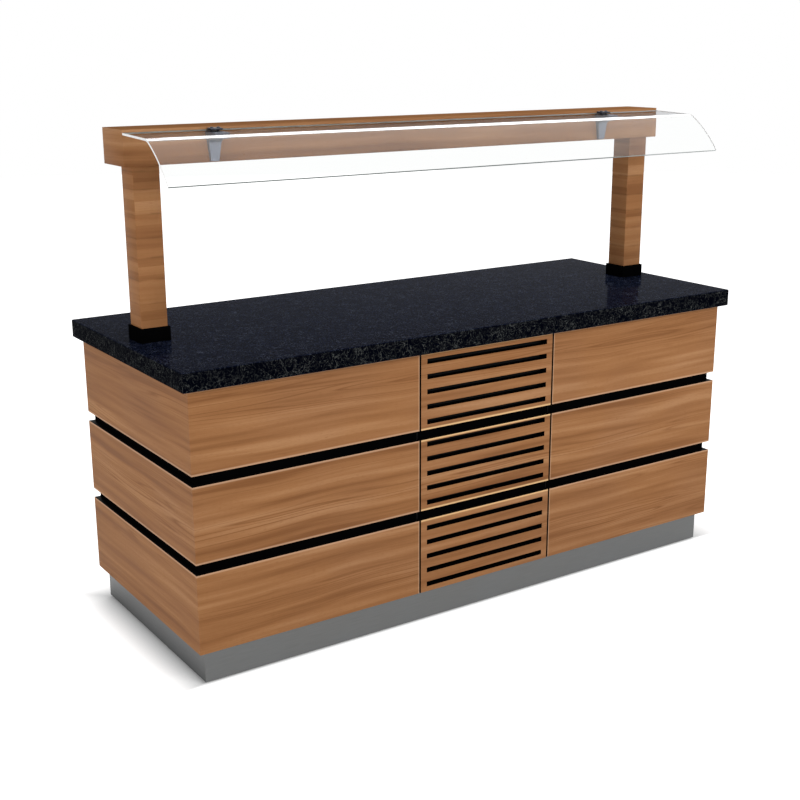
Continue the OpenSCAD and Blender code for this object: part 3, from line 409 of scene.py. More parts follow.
def veneer(kind):
    """Straight-grained timber veneer. A wrapped grain runs on round the corners, a
    banded one is cut across and stacked in blocks, as on the posts."""
    base = Finish("veneer_" + kind, {"Specular IOR Level": VENEER_SHINE})
    tones, banded, plain = look(), kind == "banded", kind == "plain"
    x, y, z = base.parts(base.place)
    normal_x, _, normal_z = base.parts(base.normal)
    lying = abs(normal_z) > 0.7
    along = y * (base.calc("SIGN", x) if kind == "wrapped" else 1.0) + x
    across = lying * (y - z) + z
    sway = base.noise(base.triple(along * 0.9, across, 0), 2.0, 1)
    across = sway * 0.035 + across

    def grain(stretch, fineness, detail=1.0):
        return base.noise(base.triple(along * stretch, across * fineness, 0), 1, detail)

    coarse = 0.7 if banded else 1.0
    bands, streaks = grain(0.5, 14 * coarse), grain(1.8, 46 * coarse)
    total = bands * 0.48 + streaks * 0.40 + grain(7, 240 * coarse, 1.5) * 0.12
    if banded:
        blocks = {"W": z, "Scale": 15.0, "Randomness": 1.0, "voronoi_dimensions": "1D"}
        slips = {**blocks, "W": (abs(normal_x) > 0.5) * 0.37 + z, "Scale": 34.0}
        for stack, share in ((blocks, 0.16), (slips, 0.18)):
            tone = base.parts(base.cells("Color", **stack))[0]
            total = tone * share + total * (1 - share)
    tint = base.ramp(total, [
        (0.36, tones.veneer_dark), (0.46, tones.veneer_mid),
        (0.54, tones.veneer_warm), (0.64, tones.veneer_light),
    ])
    contour = base.calc("PINGPONG", grain(0.7, 26), 0.045)
    lines = base.spread(contour, 0.001, 0.017, 0.1 if banded else 0.9, 0)
    lines = lines * base.spread(grain(0.5, 8), 0.45, 0.58)
    tint = base.mix(lines, tint, tones.veneer_dark)
    blush = base.spread(base.noise(base.place, 3.2, 2), 0.42, 0.62, 0, 0.35)
    tint = base.mix(blush, tint, base.mix(1.0, tint, (0.93, 0.98, 1.16), "MULTIPLY"))
    pores = grain(60, 900, 0.0)
    tint = base.mix(base.spread(pores, 0.62, 0.72, 0, 0.3), tint, tones.veneer_dark)
    if banded:
        seam = base.cells("Distance", feature="DISTANCE_TO_EDGE", **blocks)
        seam = base.spread(seam, 0.0, 0.07, 0.4, 0.0)
        seam = seam * base.spread(base.noise(base.place, 16), 0.35, 0.6)
        tint = base.mix(seam, tint, (0.11, 0.048, 0.022))
    elif kind == "beam":
        # Painted light: the beam's top face gets a warmer, lighter tone for the way light falls on
        # it.
        tint = base.mix(lying * 0.35, tint, (0.42, 0.19, 0.075))
        base.set("Specular IOR Level", (1.0 - lying) * VENEER_SHINE)
    else:
        # Painted shade: the boards' top faces in the reveals between the tiers are painted black.
        tint = base.mix(lying, tint, tones.board)
        # Painted highlight: a light warm line along the boards' edges at the reveals, and on the
        # wrapped boards beside the door's joints, where they catch the light.
        gap = 1.0
        for edge in sum(TIERS, ())[1:]:
            gap = base.calc("MINIMUM", gap, abs(z - edge))
        edge_highlight = base.spread(gap, 0.003, 0.007, 0.9 if plain else 0.6, 0.0)
        joint = abs(abs(x) - (GRILLE[1].x if plain else OPENING))
        if not plain:
            edge_highlight = base.calc("MAXIMUM", edge_highlight, base.spread(joint, 0.002, 0.005, 0.5, 0.0))
        highlight_tint = (0.86, 0.55, 0.27) if plain else (0.70, 0.44, 0.28)
        tint = base.mix(edge_highlight * (1.0 - lying), tint, highlight_tint)
        # Painted shade: the grille boards go black within two millimetres of their sides, in the
        # joints.
        if plain:
            tint = base.mix(base.spread(joint, 0.001, 0.002, 1.0, 0.0), tint, tones.board)
    base.paint(tint)
    base.rough(total, 0.42, 0.55)
    base.relief(pores, 0.00004)
    return base.material


def granite():
    """Near-black polished stone with fine specks and curled grey flecks, which show on
    its sawn edges more than on its polished top."""
    base = Finish("granite", {"IOR": 1.014})
    upright = base.spread(abs(base.parts(base.normal)[2]), 0.3, 0.8, 1, 0)
    fine = base.noise(base.place, 300, 3)
    patches = base.noise(base.place, 22, 2)
    curls = 0.0
    for size, curl in ((24, 2.6), (40, 2.0)):
        ridge = abs(base.noise(base.place, size, 1, curl) - 0.5)
        curls = base.calc("MAXIMUM", curls, base.spread(ridge, 0.006, 0.028, 1, 0))
    curls = curls * base.spread(patches, 0.40, 0.60, 0.45, 1)
    curls = curls * base.spread(fine, 0.45, 0.62, 0.2, 1)
    ground = look().granite
    navy, black = (tuple(share * c for c in ground) for share in (5, 0.4))
    tint = base.mix(upright, base.mix(base.spread(fine, 0.50, 0.68), ground, navy), black)
    base.paint(base.mix(curls, tint, base.mix(upright, look().fleck_top, look().fleck)))
    base.rough(fine, 0.08, 0.14)
    return base.material


def brushed(kind, tint, rough, across, shadow_height=0.0):
    """Brushed steel sheet. across is the stretch of the lines on each axis, and the last argument
    the height of a painted contact shadow, a dark line along the floor."""
    base = Finish("brushed_" + kind, {"Metallic": 1.0, "Base Color": tint})
    lines = base.noise(base.stretched(across), 1, 2)
    clouds = base.noise(base.place, 5, 2)
    bright = base.ramp(lines, [(0.3, (0.8,) * 3), (0.7, (1.0,) * 3)])
    shade = base.mix(1.0, tint, bright, "MULTIPLY")
    shade = base.mix(base.spread(clouds, 0.4, 0.7, 0, 0.18), shade, (0.12, 0.13, 0.14))
    if shadow_height:
        # Painted shadow: the sheet darkens towards its foot, where it meets the floor.
        contact_shadow = base.spread(base.parts(base.place)[2], 0.4 * shadow_height, shadow_height, 0.75, 0.0)
        shade = base.mix(contact_shadow, shade, (0.01, 0.01, 0.01))
    base.paint(shade)
    base.rough(lines, rough, rough + 0.14)
    base.relief(lines, 0.00003)
    return base.material


# Moulded, painted and cast finishes: tint, roughness, fineness of the grain, its depth
# in metres, share of metal and shine
COATS = {
    "black_board": ("board", 0.7, 500, 0.00003, 0.0, 0.0),
    "black_plastic": ((0.018, 0.018, 0.02), 0.42, 1400, 0.00004, 0.0, 0.5),
    "bracket_steel": ("bracket", 0.34, 900, 0.00002, 0.3, 0.5),
    "clamp_steel": ((0.035, 0.038, 0.055), 0.45, 900, 0.00002, 0.2, 0.2),
    "frame_paint": ((0.16, 0.165, 0.17), 0.5, 700, 0.00005, 0.2, 0.5),
    "aluminium": ((0.62, 0.63, 0.64), 0.38, 900, 0.00003, 1.0, 0.5),
    "fin_alloy": ((0.60, 0.62, 0.63), 0.36, 900, 0.00002, 1.0, 0.5),
    "filter_black": ((0.004, 0.004, 0.0045), 0.6, 800, 0.00004, 0.0, 0.1),
    "gasket": ((0.02, 0.02, 0.021), 0.6, 900, 0.00003, 0.0, 0.5),
    "compressor_paint": ((0.016, 0.017, 0.019), 0.32, 500, 0.00012, 0.0, 0.5),
    "shroud_paint": ((0.022, 0.023, 0.026), 0.4, 700, 0.00005, 0.1, 0.5),
    "fan_plastic": ((0.045, 0.048, 0.055), 0.38, 900, 0.00003, 0.0, 0.5),
    "display_plastic": ((0.012, 0.012, 0.014), 0.24, 1500, 0.00002, 0.0, 0.5),
    "key_plastic": ((0.50, 0.52, 0.53), 0.4, 1500, 0.00002, 0.0, 0.5),
    "rocker_plastic": ((0.26, 0.014, 0.011), 0.28, 1500, 0.00002, 0.0, 0.5),
    "pedal_paint": ((0.42, 0.035, 0.022), 0.38, 900, 0.00004, 0.0, 0.5),
    "wheel_rubber": ((0.045, 0.046, 0.05), 0.6, 700, 0.00006, 0.0, 0.5),
    "hub_plastic": ((0.10, 0.105, 0.11), 0.42, 900, 0.00004, 0.0, 0.5),
}


def coated(kind):
    """Moulded, painted or cast surface: faint clouds of tone and a fine grain."""
    tint, rough, grain, depth, metal, shine = COATS[kind]
    tint = getattr(look(), tint) if isinstance(tint, str) else tint
    base = Finish(kind, {"Metallic": metal, "Specular IOR Level": shine})
    clouds = base.noise(base.place, 14, 3)
    skin = base.noise(base.place, grain, 2)
    low, high = [tuple(min(1.0, c * share) for c in tint) for share in (0.82, 1.15)]
    base.paint(base.ramp(clouds, [(0.3, low), (0.7, high)]))
    base.rough(skin, rough - 0.06, rough + 0.08)
    base.relief(skin, depth)
    return base.material


def coat(kind):
    return once(coated, kind)


def plated():
    """Zinc plate with a faint spangle."""
    base = Finish("zinc", {"Metallic": 1.0})
    spangle = base.parts(base.cells("Color", Vector=base.place, Scale=260))[0]
    base.paint(base.ramp(spangle, [(0.0, (0.47, 0.48, 0.50)), (1.0, (0.62, 0.62, 0.60))]))
    base.rough(spangle, 0.28, 0.42)
    return base.material


def copper():
    """Drawn copper tube, a little tarnished."""
    base = Finish("copper", {"Metallic": 1.0})
    stain = base.noise(base.place, 38, 4, 0.6)
    base.paint(base.ramp(stain, [(0.35, (0.34, 0.14, 0.08)), (0.6, look().copper)]))
    base.rough(stain, 0.42, 0.2)
    return base.material


def clear_glass():
    """Clear float glass with a faint waviness in its polish. Its flat part is tinted grey and has
    almost no reflection: painted shade.
    """
    base = Finish("guard_glass", {"Transmission Weight": 1.0})
    # Painted shade: the flat part is tinted grey, with an IOR near 1.
    flat = base.spread(abs(base.parts(base.normal)[2]), 0.985, 0.997)
    base.set("IOR", base.spread(flat, 0, 1, 1.5, 1.008))
    base.paint(base.mix(flat, look().glass, (0.615, 0.62, 0.635)))
    dust = base.noise(base.place, 30, 3)
    base.set("Roughness", base.spread(dust, 0.45, 0.75, 0.0, 0.02))
    return base.material


def ground_glass():
    """Ground edge of the glass. Its left end is painted white and opaque, a painted highlight."""
    base = Finish("glass_edge", {"IOR": 1.5})
    grind = base.noise(base.stretched((8, 900, 900)), 1, 2)
    light = tuple(min(1.0, c * 1.3) for c in look().glass_edge)
    tint = base.ramp(grind, [(0.3, look().glass_edge), (0.7, light)])
    # Painted highlight: the left end's edge is painted white and opaque.
    end = base.parts(base.normal)[0] < -0.5
    base.paint(base.mix(end, tint, (1.0, 0.99, 0.98)))
    base.set("Transmission Weight", base.spread(end, 0, 1, 0.45, 0))
    base.rough(grind, 0.25, 0.4)
    return base.material


def foam():
    """Rigid cream foam with open cells."""
    base = Finish("foam", {"Specular IOR Level": 0.2})
    pits = base.cells("Distance", Vector=base.place, Scale=420)
    base.paint(base.ramp(pits, [(0.0, (0.42, 0.36, 0.24)), (0.5, (0.70, 0.64, 0.48))]))
    base.rough(pits, 0.8, 0.95)
    base.relief(pits, 0.0003)
    return base.material


def glowing(kind, tint, strength):
    """Lit plastic: display bars and the light bar's cover."""
    base = Finish(kind, {"Emission Color": tint, "Emission Strength": strength})
    haze = base.noise(base.place, 60, 2)
    base.paint(base.ramp(haze, [(0.3, tuple(0.85 * c for c in tint)), (0.7, tint)]))
    base.rough(haze, 0.35, 0.45)
    return base.material


# ------------------------------------------------------------------ mesh making


def add_block(work, low, high, ease, steps=2):
    """Adds a box with eased edges."""
    low, high = Vector(low), Vector(high)
    matrix = Matrix.Translation((low + high) / 2) @ Matrix.Diagonal((*(high - low), 1))
    made = bmesh.ops.create_cube(work, size=1, matrix=matrix)["verts"]
    edges = list({edge for vert in made for edge in vert.link_edges})
    if ease:
        bmesh.ops.bevel(
            work, geom=edges, offset=ease, segments=steps, profile=0.5, affect="EDGES"
        )


def add_turned(work, profile, origin=(0, 0, 0), axis="Z", steps=48, ring=False):
    """Adds a turned shape: profile is (radius, height) pairs, from one pole to the
    other, or all round a ring's section."""
    turns = {
        "Z": Matrix.Identity(3),
        "Y": Matrix.Rotation(-math.pi / 2, 3, "X"),
        "X": Matrix.Rotation(math.pi / 2, 3, "Y"),
    }
    rows = []
    for radius, height in profile:
        angles = [2 * math.pi * i / steps for i in range(steps if radius else 1)]
        points = [(radius * math.cos(a), radius * math.sin(a), height) for a in angles]
        rows.append([work.verts.new(Vector(origin) + turns[axis] @ Vector(p)) for p in points])
    pairs = list(zip(rows, rows[1:])) + ([(rows[-1], rows[0])] if ring else [])
    for low, high in pairs:
        for i in range(steps):
            j = (i + 1) % steps
            corners = [
                low[i % len(low)], low[j % len(low)], high[j % len(high)], high[i % len(high)]
            ]
            work.faces.new(list(dict.fromkeys(corners)))


def quarter(steps, skip=0):
    """(sine, cosine) pairs round a quarter turn."""
    angles = [math.pi / 2 * i / steps for i in range(skip, steps + 1)]
    return [(math.sin(a), math.cos(a)) for a in angles]


def mirrored(section):
    """A ring's section, with its other half mirrored across the middle."""
    return section + [(radius, -height) for radius, height in reversed(section)]


def rod(radius, low, high):
    """A plain rod's profile from one height to another."""
    return [(0, low), (radius, low), (radius, high), (0, high)]


def round_section(radius, thick, steps=8):
    """A round section for a ring, about a radius."""
    angles = [2 * math.pi * i / steps for i in range(steps)]
    return [(radius + thick * math.cos(a), thick * math.sin(a)) for a in angles]


def add_prism(work, outline, rise):
    """Adds an outline of points pulled out along a vector."""
    low = [work.verts.new(Vector(p)) for p in outline]
    high = [work.verts.new(Vector(p) + Vector(rise)) for p in outline]
    faces = [work.faces.new(low), work.faces.new(high)]
    for i, corner in enumerate(low):
        j = (i + 1) % len(low)
        faces.append(work.faces.new((corner, low[j], high[j], high[i])))
    bmesh.ops.recalc_face_normals(work, faces=faces)


def made_mesh(name, work, *materials):
    mesh = bpy.data.meshes.new(name)
    work.to_mesh(mesh)
    work.free()
    for material in materials:
        mesh.materials.append(material)
    return mesh


def eased(node, ease, square=True):
    """A copy of a CAD node with its square edges eased. Mitres stay sharp."""
    work = bmesh.new()
    work.from_mesh(NODES[node].data)
    bmesh.ops.remove_doubles(work, verts=work.verts, dist=1e-6)
    bmesh.ops.dissolve_limit(
        work, angle_limit=math.radians(0.5), verts=work.verts, edges=work.edges
    )
    edges = []
    for edge in work.edges:
        if not edge.is_manifold or not edge.is_convex:
            continue
        run = (edge.verts[1].co - edge.verts[0].co).normalized()
        straight = max(abs(c) for c in run) > 0.9999
        turned = math.degrees(edge.calc_face_angle(0))
        if 60 < turned < 120 and (straight or not square):
            edges.append(edge)
    bmesh.ops.bevel(
        work, geom=edges, offset=ease, segments=2, profile=0.5, affect="EDGES",
        clamp_overlap=True,
    )
    return made_mesh(node, work)


def put_in_scene(name, mesh, crisp):
    """An object with smooth faces, its edges sharp from a number of degrees."""
    mesh.polygons.foreach_set("use_smooth", [True] * len(mesh.polygons))
    mesh.set_sharp_from_angle(angle=math.radians(crisp))
    made = bpy.data.objects.new(name, mesh)
    bpy.context.scene.collection.objects.link(made)
    return made


def piece(name, mesh, body, materials=(), stands_for=(), crisp=32):
    """Finishes a piece: shading, material, body, and hides the nodes it replaces."""
    mesh.name = name
    for material in materials:
        mesh.materials.append(material)
    made = put_in_scene(name, mesh, crisp)
    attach(made, body)
    if stands_for:
        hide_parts(*stands_for)


def paint(material, *nodes):
    """Gives CAD nodes a better material."""
    for node in nodes:
        for place in NODES[node].material_slots:
            place.material = material


def template(name, work, crisp=32):
    """An object that a tree repeats. It is removed after use."""
    return put_in_scene(name, made_mesh(name, work), crisp)


def points_mesh(points, edges=()):
    mesh = bpy.data.meshes.new("points")
    mesh.from_pydata([tuple(p) for p in points], list(edges), [])
    return mesh


# ------------------------------------------------------------------ geometry trees


def slotted_board_tree():
    """A board with a row of slots cut through it, standing in the XZ plane."""
    shape = Shape(
        "slotted_board", Width="Float", Height="Float", Thickness="Float",
        Slot_Length="Float", Slot_Height="Float", Pitch="Float", Margin="Float", Rows="Int",
        Place="Vector", Facing="Float", Wood="Material", Slot_Walls="Material",
    )
    given, oblong = shape.given, "CurvePrimitiveQuadrilateral"
    outline = shape.geo(oblong, Width=given.width, Height=given.height)
    slot = shape.geo(oblong, Width=given.slot_length, Height=given.slot_height)
    first = given.margin + given.slot_height * 0.5 - given.height * 0.5
    line = shape.geo(
        "MeshLine", Count=given.rows, Start_Location=shape.triple(0.0, first, 0.0),
        Offset=shape.triple(0.0, given.pitch, 0.0),
    )
    slots = shape.geo("InstanceOnPoints", Points=line, Instance=slot)
    sheet = shape.geo("FillCurve", shape.geo("RealizeInstances", shape.join(slots, outline)))
    pulled = shape.geo(
        "ExtrudeMesh", sheet, Offset_Scale=given.thickness, Individual=False, mode="FACES"
    )
    whole = shape.doubled(sheet, pulled)
    y = shape.parts(shape.geo("InputPosition"))[1]
    lengthwise = abs(shape.parts(shape.geo("InputNormal"))[2]) < 0.5
    # Painted shade: the slots' walls and the board's sides are painted black; its top and bottom
    # edges stay wood.
    walls = (abs(y) < given.height * 0.5 - 0.5 * MM) * lengthwise
    wooden = shape.geo("SetMaterial", whole, Material=given.wood)
    dark = shape.geo("SetMaterial", wooden, Selection=walls, Material=given.slot_walls)
    stood = shape.geo("Transform", dark, Rotation=(math.pi / 2, 0, 0))
    return shape.close(shape.geo(
        "Transform", stood, Rotation=shape.triple(0.0, 0.0, given.facing),
        Translation=given.place,
    ))


def bent_glass_tree():
    """A sheet of glass: flat, a sharp bend, then a gentle curve, all by arc length."""
    shape = Shape(
        "bent_glass", Length="Float", Thickness="Float", Flat="Float",
        Bend_Radius="Float", Bend_Turn="Float", Curve_Radius="Float", Curve_Turn="Float",
        Rows="Int", Tilt="Float", Place="Vector", Clear="Material", Rim="Material",
    )
    given, calc = shape.given, shape.calc
    bend_run = given.bend_radius * given.bend_turn
    total = given.flat + (bend_run + given.curve_radius * given.curve_turn)
    grid = shape.geo(
        "MeshGrid", Size_X=given.length, Size_Y=total, Vertices_X=2, Vertices_Y=given.rows
    )
    x, y, _ = shape.parts(shape.geo("InputPosition"))
    run = total * 0.5 - y
    flat = calc("MINIMUM", run, given.flat)
    in_bend = calc("MINIMUM", run - flat, bend_run)
    bend = in_bend / given.bend_radius
    turned = bend + (run - flat - in_bend) / given.curve_radius
    sin_bend, cos_bend = calc("SINE", bend), calc("COSINE", bend)
    sin_all, cos_all = calc("SINE", turned), calc("COSINE", turned)
    forward = given.bend_radius * sin_bend + flat + given.curve_radius * (sin_all - sin_bend)
    down = given.bend_radius * (1.0 - cos_bend) + given.curve_radius * (cos_bend - cos_all)
    thick_y, thick_z = given.thickness * sin_all, given.thickness * cos_all
    rise = shape.triple(0.0, 0.0 - thick_y, thick_z)
    under = shape.triple(x, thick_y - forward, 0.0 - thick_z - down)
    kept = shape.geo(
        "StoreNamedAttribute", grid, Name="rise", Value=rise, data_type="FLOAT_VECTOR",
        domain="POINT",
    )
    sheet = shape.geo("SetPosition", kept, Position=under)
    pulled = shape.put(
        "GeometryNodeExtrudeMesh", Mesh=sheet, Offset_Scale=0.0, Individual=False, mode="FACES"
    ).outputs
    raised = shape.geo(
        "SetPosition", pulled["Mesh"], Selection=pulled["Top"],
        Offset=shape.attribute("rise", "FLOAT_VECTOR"),
    )
    whole = shape.doubled(sheet, raised)
    placed = shape.geo(
        "Transform", shape.geo("RemoveAttribute", whole, Name="rise"),
        Rotation=shape.triple(given.tilt, 0.0, 0.0), Translation=given.place,
    )
    return shape.close(placed, (given.clear, True), (given.rim, pulled["Side"]))


def line_tree():
    """A template repeated at even steps along a line."""
    shape = Shape(
        "repeat_in_line", Template="Object", Count="Int", Start="Vector", Step="Vector",
        Finish="Material",
    )
    given = shape.given
    line = shape.geo(
        "MeshLine", Count=given.count, Start_Location=given.start, Offset=given.step
    )
    return shape.close(shape.copies(line), (given.finish, True))


def ring_tree():
    """A template repeated round the Y axis, then moved to its place."""
    shape = Shape(
        "repeat_in_ring", Template="Object", Count="Int", Place="Vector", Finish="Material"
    )
    given = shape.given
    angle = shape.value("GeometryNodeInputIndex") * (2 * math.pi / given.count)
    points = shape.geo("Points", Count=given.count)
    copies = shape.copies(points, shape.triple(0.0, angle, 0.0))
    moved = shape.geo("Transform", copies, Translation=given.place)
    return shape.close(moved, (given.finish, True))


def point_tree():
    """A template at each point of the start mesh, all turned the same way."""
    shape = Shape("repeat_at_points", Template="Object", Turn="Vector", Finish="Material")
    given = shape.given
    points = shape.geo("MeshToPoints", given.geometry)
    return shape.close(shape.copies(points, given.turn), (given.finish, True))


def tube_tree():
    """Tubes along the start mesh's lines, bent at each corner by its bend attribute."""
    shape = Shape("bent_tubes", Radius="Float", Sides="Int", Finish="Material")
    given = shape.given
    curve = shape.geo(
        "FilletCurve", shape.geo("MeshToCurve", given.geometry), Count=10,
        Radius=shape.attribute("bend", "FLOAT"), Limit_Radius=True, mode="POLY",
    )
    circle = shape.geo("CurvePrimitiveCircle", Resolution=given.sides, Radius=given.radius)
    tube = shape.geo("CurveToMesh", curve, Profile_Curve=circle, Fill_Caps=True)
    clean = shape.geo("RemoveAttribute", tube, Name="bend")
    return shape.close(clean, (given.finish, True))


def repeated(tree_maker, source, material, points=None, **values):
    """Runs a repeating tree on a template, and removes the template."""
    values |= {"Template": source, "Finish": material}
    mesh = grown(once(tree_maker), values, points and points_mesh(points))
    bpy.data.objects.remove(source)
    return mesh


def tubes(runs, radius, bend, material, sides=20, bends=None):
    """Mesh of bent tubes along runs of points. bends gives each point a bend of its own."""
    points, edges = [], []
    for run in runs:
        first = len(points)
        points += run
        edges += [(first + i, first + i + 1) for i in range(len(run) - 1)]
    start = points_mesh(points, edges)
    bends = bends or [bend] * len(points)
    start.attributes.new("bend", "FLOAT", "POINT").data.foreach_set("value", bends)
    values = {"Radius": radius, "Sides": sides, "Finish": material}
    return grown(once(tube_tree), values, start)


def joined(*meshes):
    """One mesh from several, each with its own materials."""
    work = bmesh.new()
    materials = []
    for mesh in meshes:
        first = len(work.faces)
        for material in mesh.materials:
            if material not in materials:
                materials.append(material)
        work.from_mesh(mesh)
        work.faces.ensure_lookup_table()
        for face in work.faces[first:]:
            if mesh.materials:
                face.material_index = materials.index(mesh.materials[face.material_index])
    return made_mesh("joined", work, *materials)


def screw_template(radius, height):
    """Button-head screw with a round socket, its seat at the origin, up along Z."""
    work = bmesh.new()
    side = 0.45 * radius
    profile = [
        (0, 0), (radius, 0), (radius, 0.35 * height), (0.85 * radius, 0.8 * height),
        (0.6 * radius, height), (side, height), (side * 0.98, 0.45 * height), (0, 0.45 * height),
    ]
    add_turned(work, profile, steps=24)
    return template("screw", work)


def bolt_template(radius, height):
    """Hexagon bolt head with its washer, its seat at the origin, down along -Z."""
    work = bmesh.new()
    washer, flange = -0.3 * height, 1.35 * radius
    add_turned(work, rod(flange, washer, 0))
    profile = [(0, -height), (0.8 * radius, -height), (radius, -0.85 * height)]
    add_turned(work, profile + [(radius, washer), (0, washer)], steps=6)
    return template("bolt", work)


# ------------------------------------------------------------------ operators


class SALAD_OT_stage(bpy.types.Operator):
    """Camera, floor, world and soft lamps"""

    bl_idname = "salad.stage"
    bl_label = "Stage"
    bl_options = {"REGISTER", "UNDO"}

    def execute(self, context):
        scene = context.scene
        stage = scene.salad_stage
        self.camera(scene, stage)
        self.world(scene, stage)
        self.floor(scene, stage)
        self.lamp(scene, "key", (0.9, -5.0, 2.9), (3.6, 2.4), stage.key_power)
        self.lamp(scene, "side", (-4.8, -1.0, 1.1), (2.4, 1.2), stage.side_power)
        self.lamp(scene, "rear", (1.6, 2.6, 3.5), (4.5, 1.6), stage.rear_power)
        scene.view_settings.view_transform = "Standard"
        return {"FINISHED"}

    def camera(self, scene, stage):
        data = bpy.data.cameras.new("camera")
        data.lens, data.sensor_width = stage.lens, 36
        data.clip_start, data.clip_end = 0.05, 200
        camera = bpy.data.objects.new("camera", data)
        scene.collection.objects.link(camera)
        turned = Matrix.Rotation(-stage.yaw, 4, "Z")
        turned = turned @ Matrix.Rotation(math.pi / 2 - stage.pitch, 4, "X")
        turned = turned @ Matrix.Rotation(stage.roll, 4, "Z")
        camera.matrix_world = Matrix.Translation(stage.eye) @ turned
        scene.camera = camera

    def seen(self, nodes):
        """1 for rays that see the background: camera, glossy and transmission rays."""
        rays = nodes.put("ShaderNodeLightPath").outputs
        seen = nodes.calc("MAXIMUM", rays["Is Camera Ray"], rays["Is Glossy Ray"])
        return nodes.calc("MAXIMUM", seen, rays["Is Transmission Ray"])

    def world(self, scene, stage):
        world = bpy.data.worlds.new("studio")
        world.use_nodes = True
        scene.world = world
        nodes = Nodes(world.node_tree)
        background = nodes.tree.nodes["Background"].inputs
        background["Color"].default_value = (1, 1, 1, 1)
        nodes.feed(
            background["Strength"], self.seen(nodes) * (1 - stage.ambient) + stage.ambient
        )

    def floor(self, scene, stage):
        """A round floor that takes the shadow, with painted light: a glow for camera, glossy and
        transmission rays makes it plain white away from the object and right along its front, and
        leaves a band of shade beside its ends and behind.
        """
        work = bmesh.new()
        bmesh.ops.create_circle(work, cap_ends=True, segments=96, radius=stage.floor_radius)
        base = Finish("floor", {"Specular IOR Level": 0.0, "Roughness": 1.0})
        x, y, _ = base.parts(base.place)
        low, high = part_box("plinth_ends")
        # Painted light: the glow is low only within a band beside the ends and behind, wider at
        # the right end, and full right up to the front, so shade shows there and nowhere else.
        beside = base.calc("MAXIMUM", low.x - x, (x - high.x) / stage.shade_lean)
        away = base.calc("MAXIMUM", beside, y - high.y)
        clear = base.spread(away, 0.0, stage.shade_width, 0.08, 1.0)
        front = base.spread(y, low.y + 0.01, low.y - 0.015)
        white = self.seen(base) * base.calc("MAXIMUM", clear, front)
        clouds = base.noise(base.place, 0.6)
        base.paint(base.ramp(clouds, [(0.2, (0.74,) * 3), (0.8, (0.76,) * 3)]))
        base.set("Emission Color", (1, 1, 1))
        base.set("Emission Strength", white)
        floor = bpy.data.objects.new("floor", made_mesh("floor", work, base.material))
        scene.collection.objects.link(floor)

    def lamp(self, scene, name, place, size, power):
        """A soft box that looks at the middle of the object."""
        data = bpy.data.lights.new(name, "AREA")
        data.shape, data.energy = "RECTANGLE", power
        data.size, data.size_y = size
        lamp = bpy.data.objects.new(name, data)
        scene.collection.objects.link(lamp)
        lamp.location = place
        sight = Vector((0, 0, 0.75)) - Vector(place)
        lamp.rotation_euler = sight.to_track_quat("-Z", "Y").to_euler()
        lamp.visible_camera = False


class SALAD_OT_cladding(bpy.types.Operator):
    """Veneered boards round the cabinet, in three tiers"""

    bl_idname = "salad.cladding"
    bl_label = "Cladding"
    bl_options = {"REGISTER", "UNDO"}

    def execute(self, context):
        materials = [once(veneer, "wrapped"), coat("black_board")]
        for node in ("front_left", "front_right", "end_left", "end_right", "rear"):
            name = "fascia_" + node
            mesh = eased(name, 0.7 * MM)
            # Painted shade: the boards' faces in the joints beside the door are painted black.
            for face in mesh.polygons:
                if abs(face.normal.x) > 0.3 and abs(abs(face.center.x) - OPENING) < MM:
                    face.material_index = 1
            piece(name + "_boards", mesh, "cabinet", materials, [name])
        return {"FINISHED"}


class SALAD_OT_grilles(bpy.types.Operator):
    """Slotted boards of the middle column, in front and at the back"""

    bl_idname = "salad.grilles"
    bl_label = "Grilles"
    bl_options = {"REGISTER", "UNDO"}

    def board(self, grille, tier, facing, slot=None):
        """One board. slot is the (length, height) of a single opening in its middle."""
        low, high = GRILLE
        height = tier[1] - tier[0]
        room = height - grille.margin - grille.slot_height - grille.rail
        values = {
            "Width": high.x - low.x, "Height": height, "Thickness": high.y - low.y,
            "Slot Length": grille.slot_length, "Slot Height": grille.slot_height,
            "Pitch": grille.pitch, "Margin": grille.margin,
            "Rows": math.floor(room / grille.pitch) + 1,
            "Place": (0, high.y if facing == FRONT else -high.y, sum(tier) / 2),
            # Slot Walls is black: painted shade in the slots and at the board's sides.
            "Facing": facing, "Wood": once(veneer, "plain"), "Slot Walls": coat("black_board"),
        }
        if slot:
            values |= {"Slot Length": slot[0], "Slot Height": slot[1], "Rows": 1}
            values["Margin"] = (height - slot[1]) / 2
        return grown(once(slotted_board_tree), values)

    def execute(self, context):
        grille = context.scene.salad_grille
        for tier, name in zip(TIERS, TIER_NAMES):
            node = "door_grille_" + name
            board = self.board(grille, tier, FRONT)
            piece(node + "_board", board, "service_door", (), [node], 10)
        low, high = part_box("control_panel")
        box_margin, clearance = 0.010, 0.002
        trim = 2 * (clearance - box_margin)
        opening = (high.x - low.x + trim, high.z - low.z + trim)
        slots = (None, None, opening)
        boards = [self.board(grille, tier, BACK, slot) for tier, slot in zip(TIERS, slots)]
        piece("rear_boards", joined(*boards), "cabinet", (), ["rear_column_boards"], 10)
        return {"FINISHED"}


class SALAD_OT_carcass(bpy.types.Operator):
    """Slab, carcass, chassis, plinth and the cooling under the slab"""

    bl_idname = "salad.carcass"
    bl_label = "Carcass and slab"
    bl_options = {"REGISTER", "UNDO"}

    def execute(self, context):
        paint(once(granite), "worktop")
        paint(
            coat("black_board"), "end_walls", "front_walls", "rear_wall", "partitions",
            "base_panel", "door_panel",
        )
        # The last figure is the height of the plinth's painted contact shadow along the floor.
        sheet = once(brushed, "plinth", tuple(look().plinth), 0.34, (14, 14, 900), 6 * MM)
        paint(sheet, "plinth_front", "plinth_rear", "plinth_ends")
        paint(coat("frame_paint"), "chassis")
        paint(coat("aluminium"), "evaporator_plate")
        paint(once(foam), "insulation_tray")
        paint(once(plated), "door_pivots", "door_catch", "post_cores")
        paint(coat("black_plastic"), "door_pins")
        return {"FINISHED"}


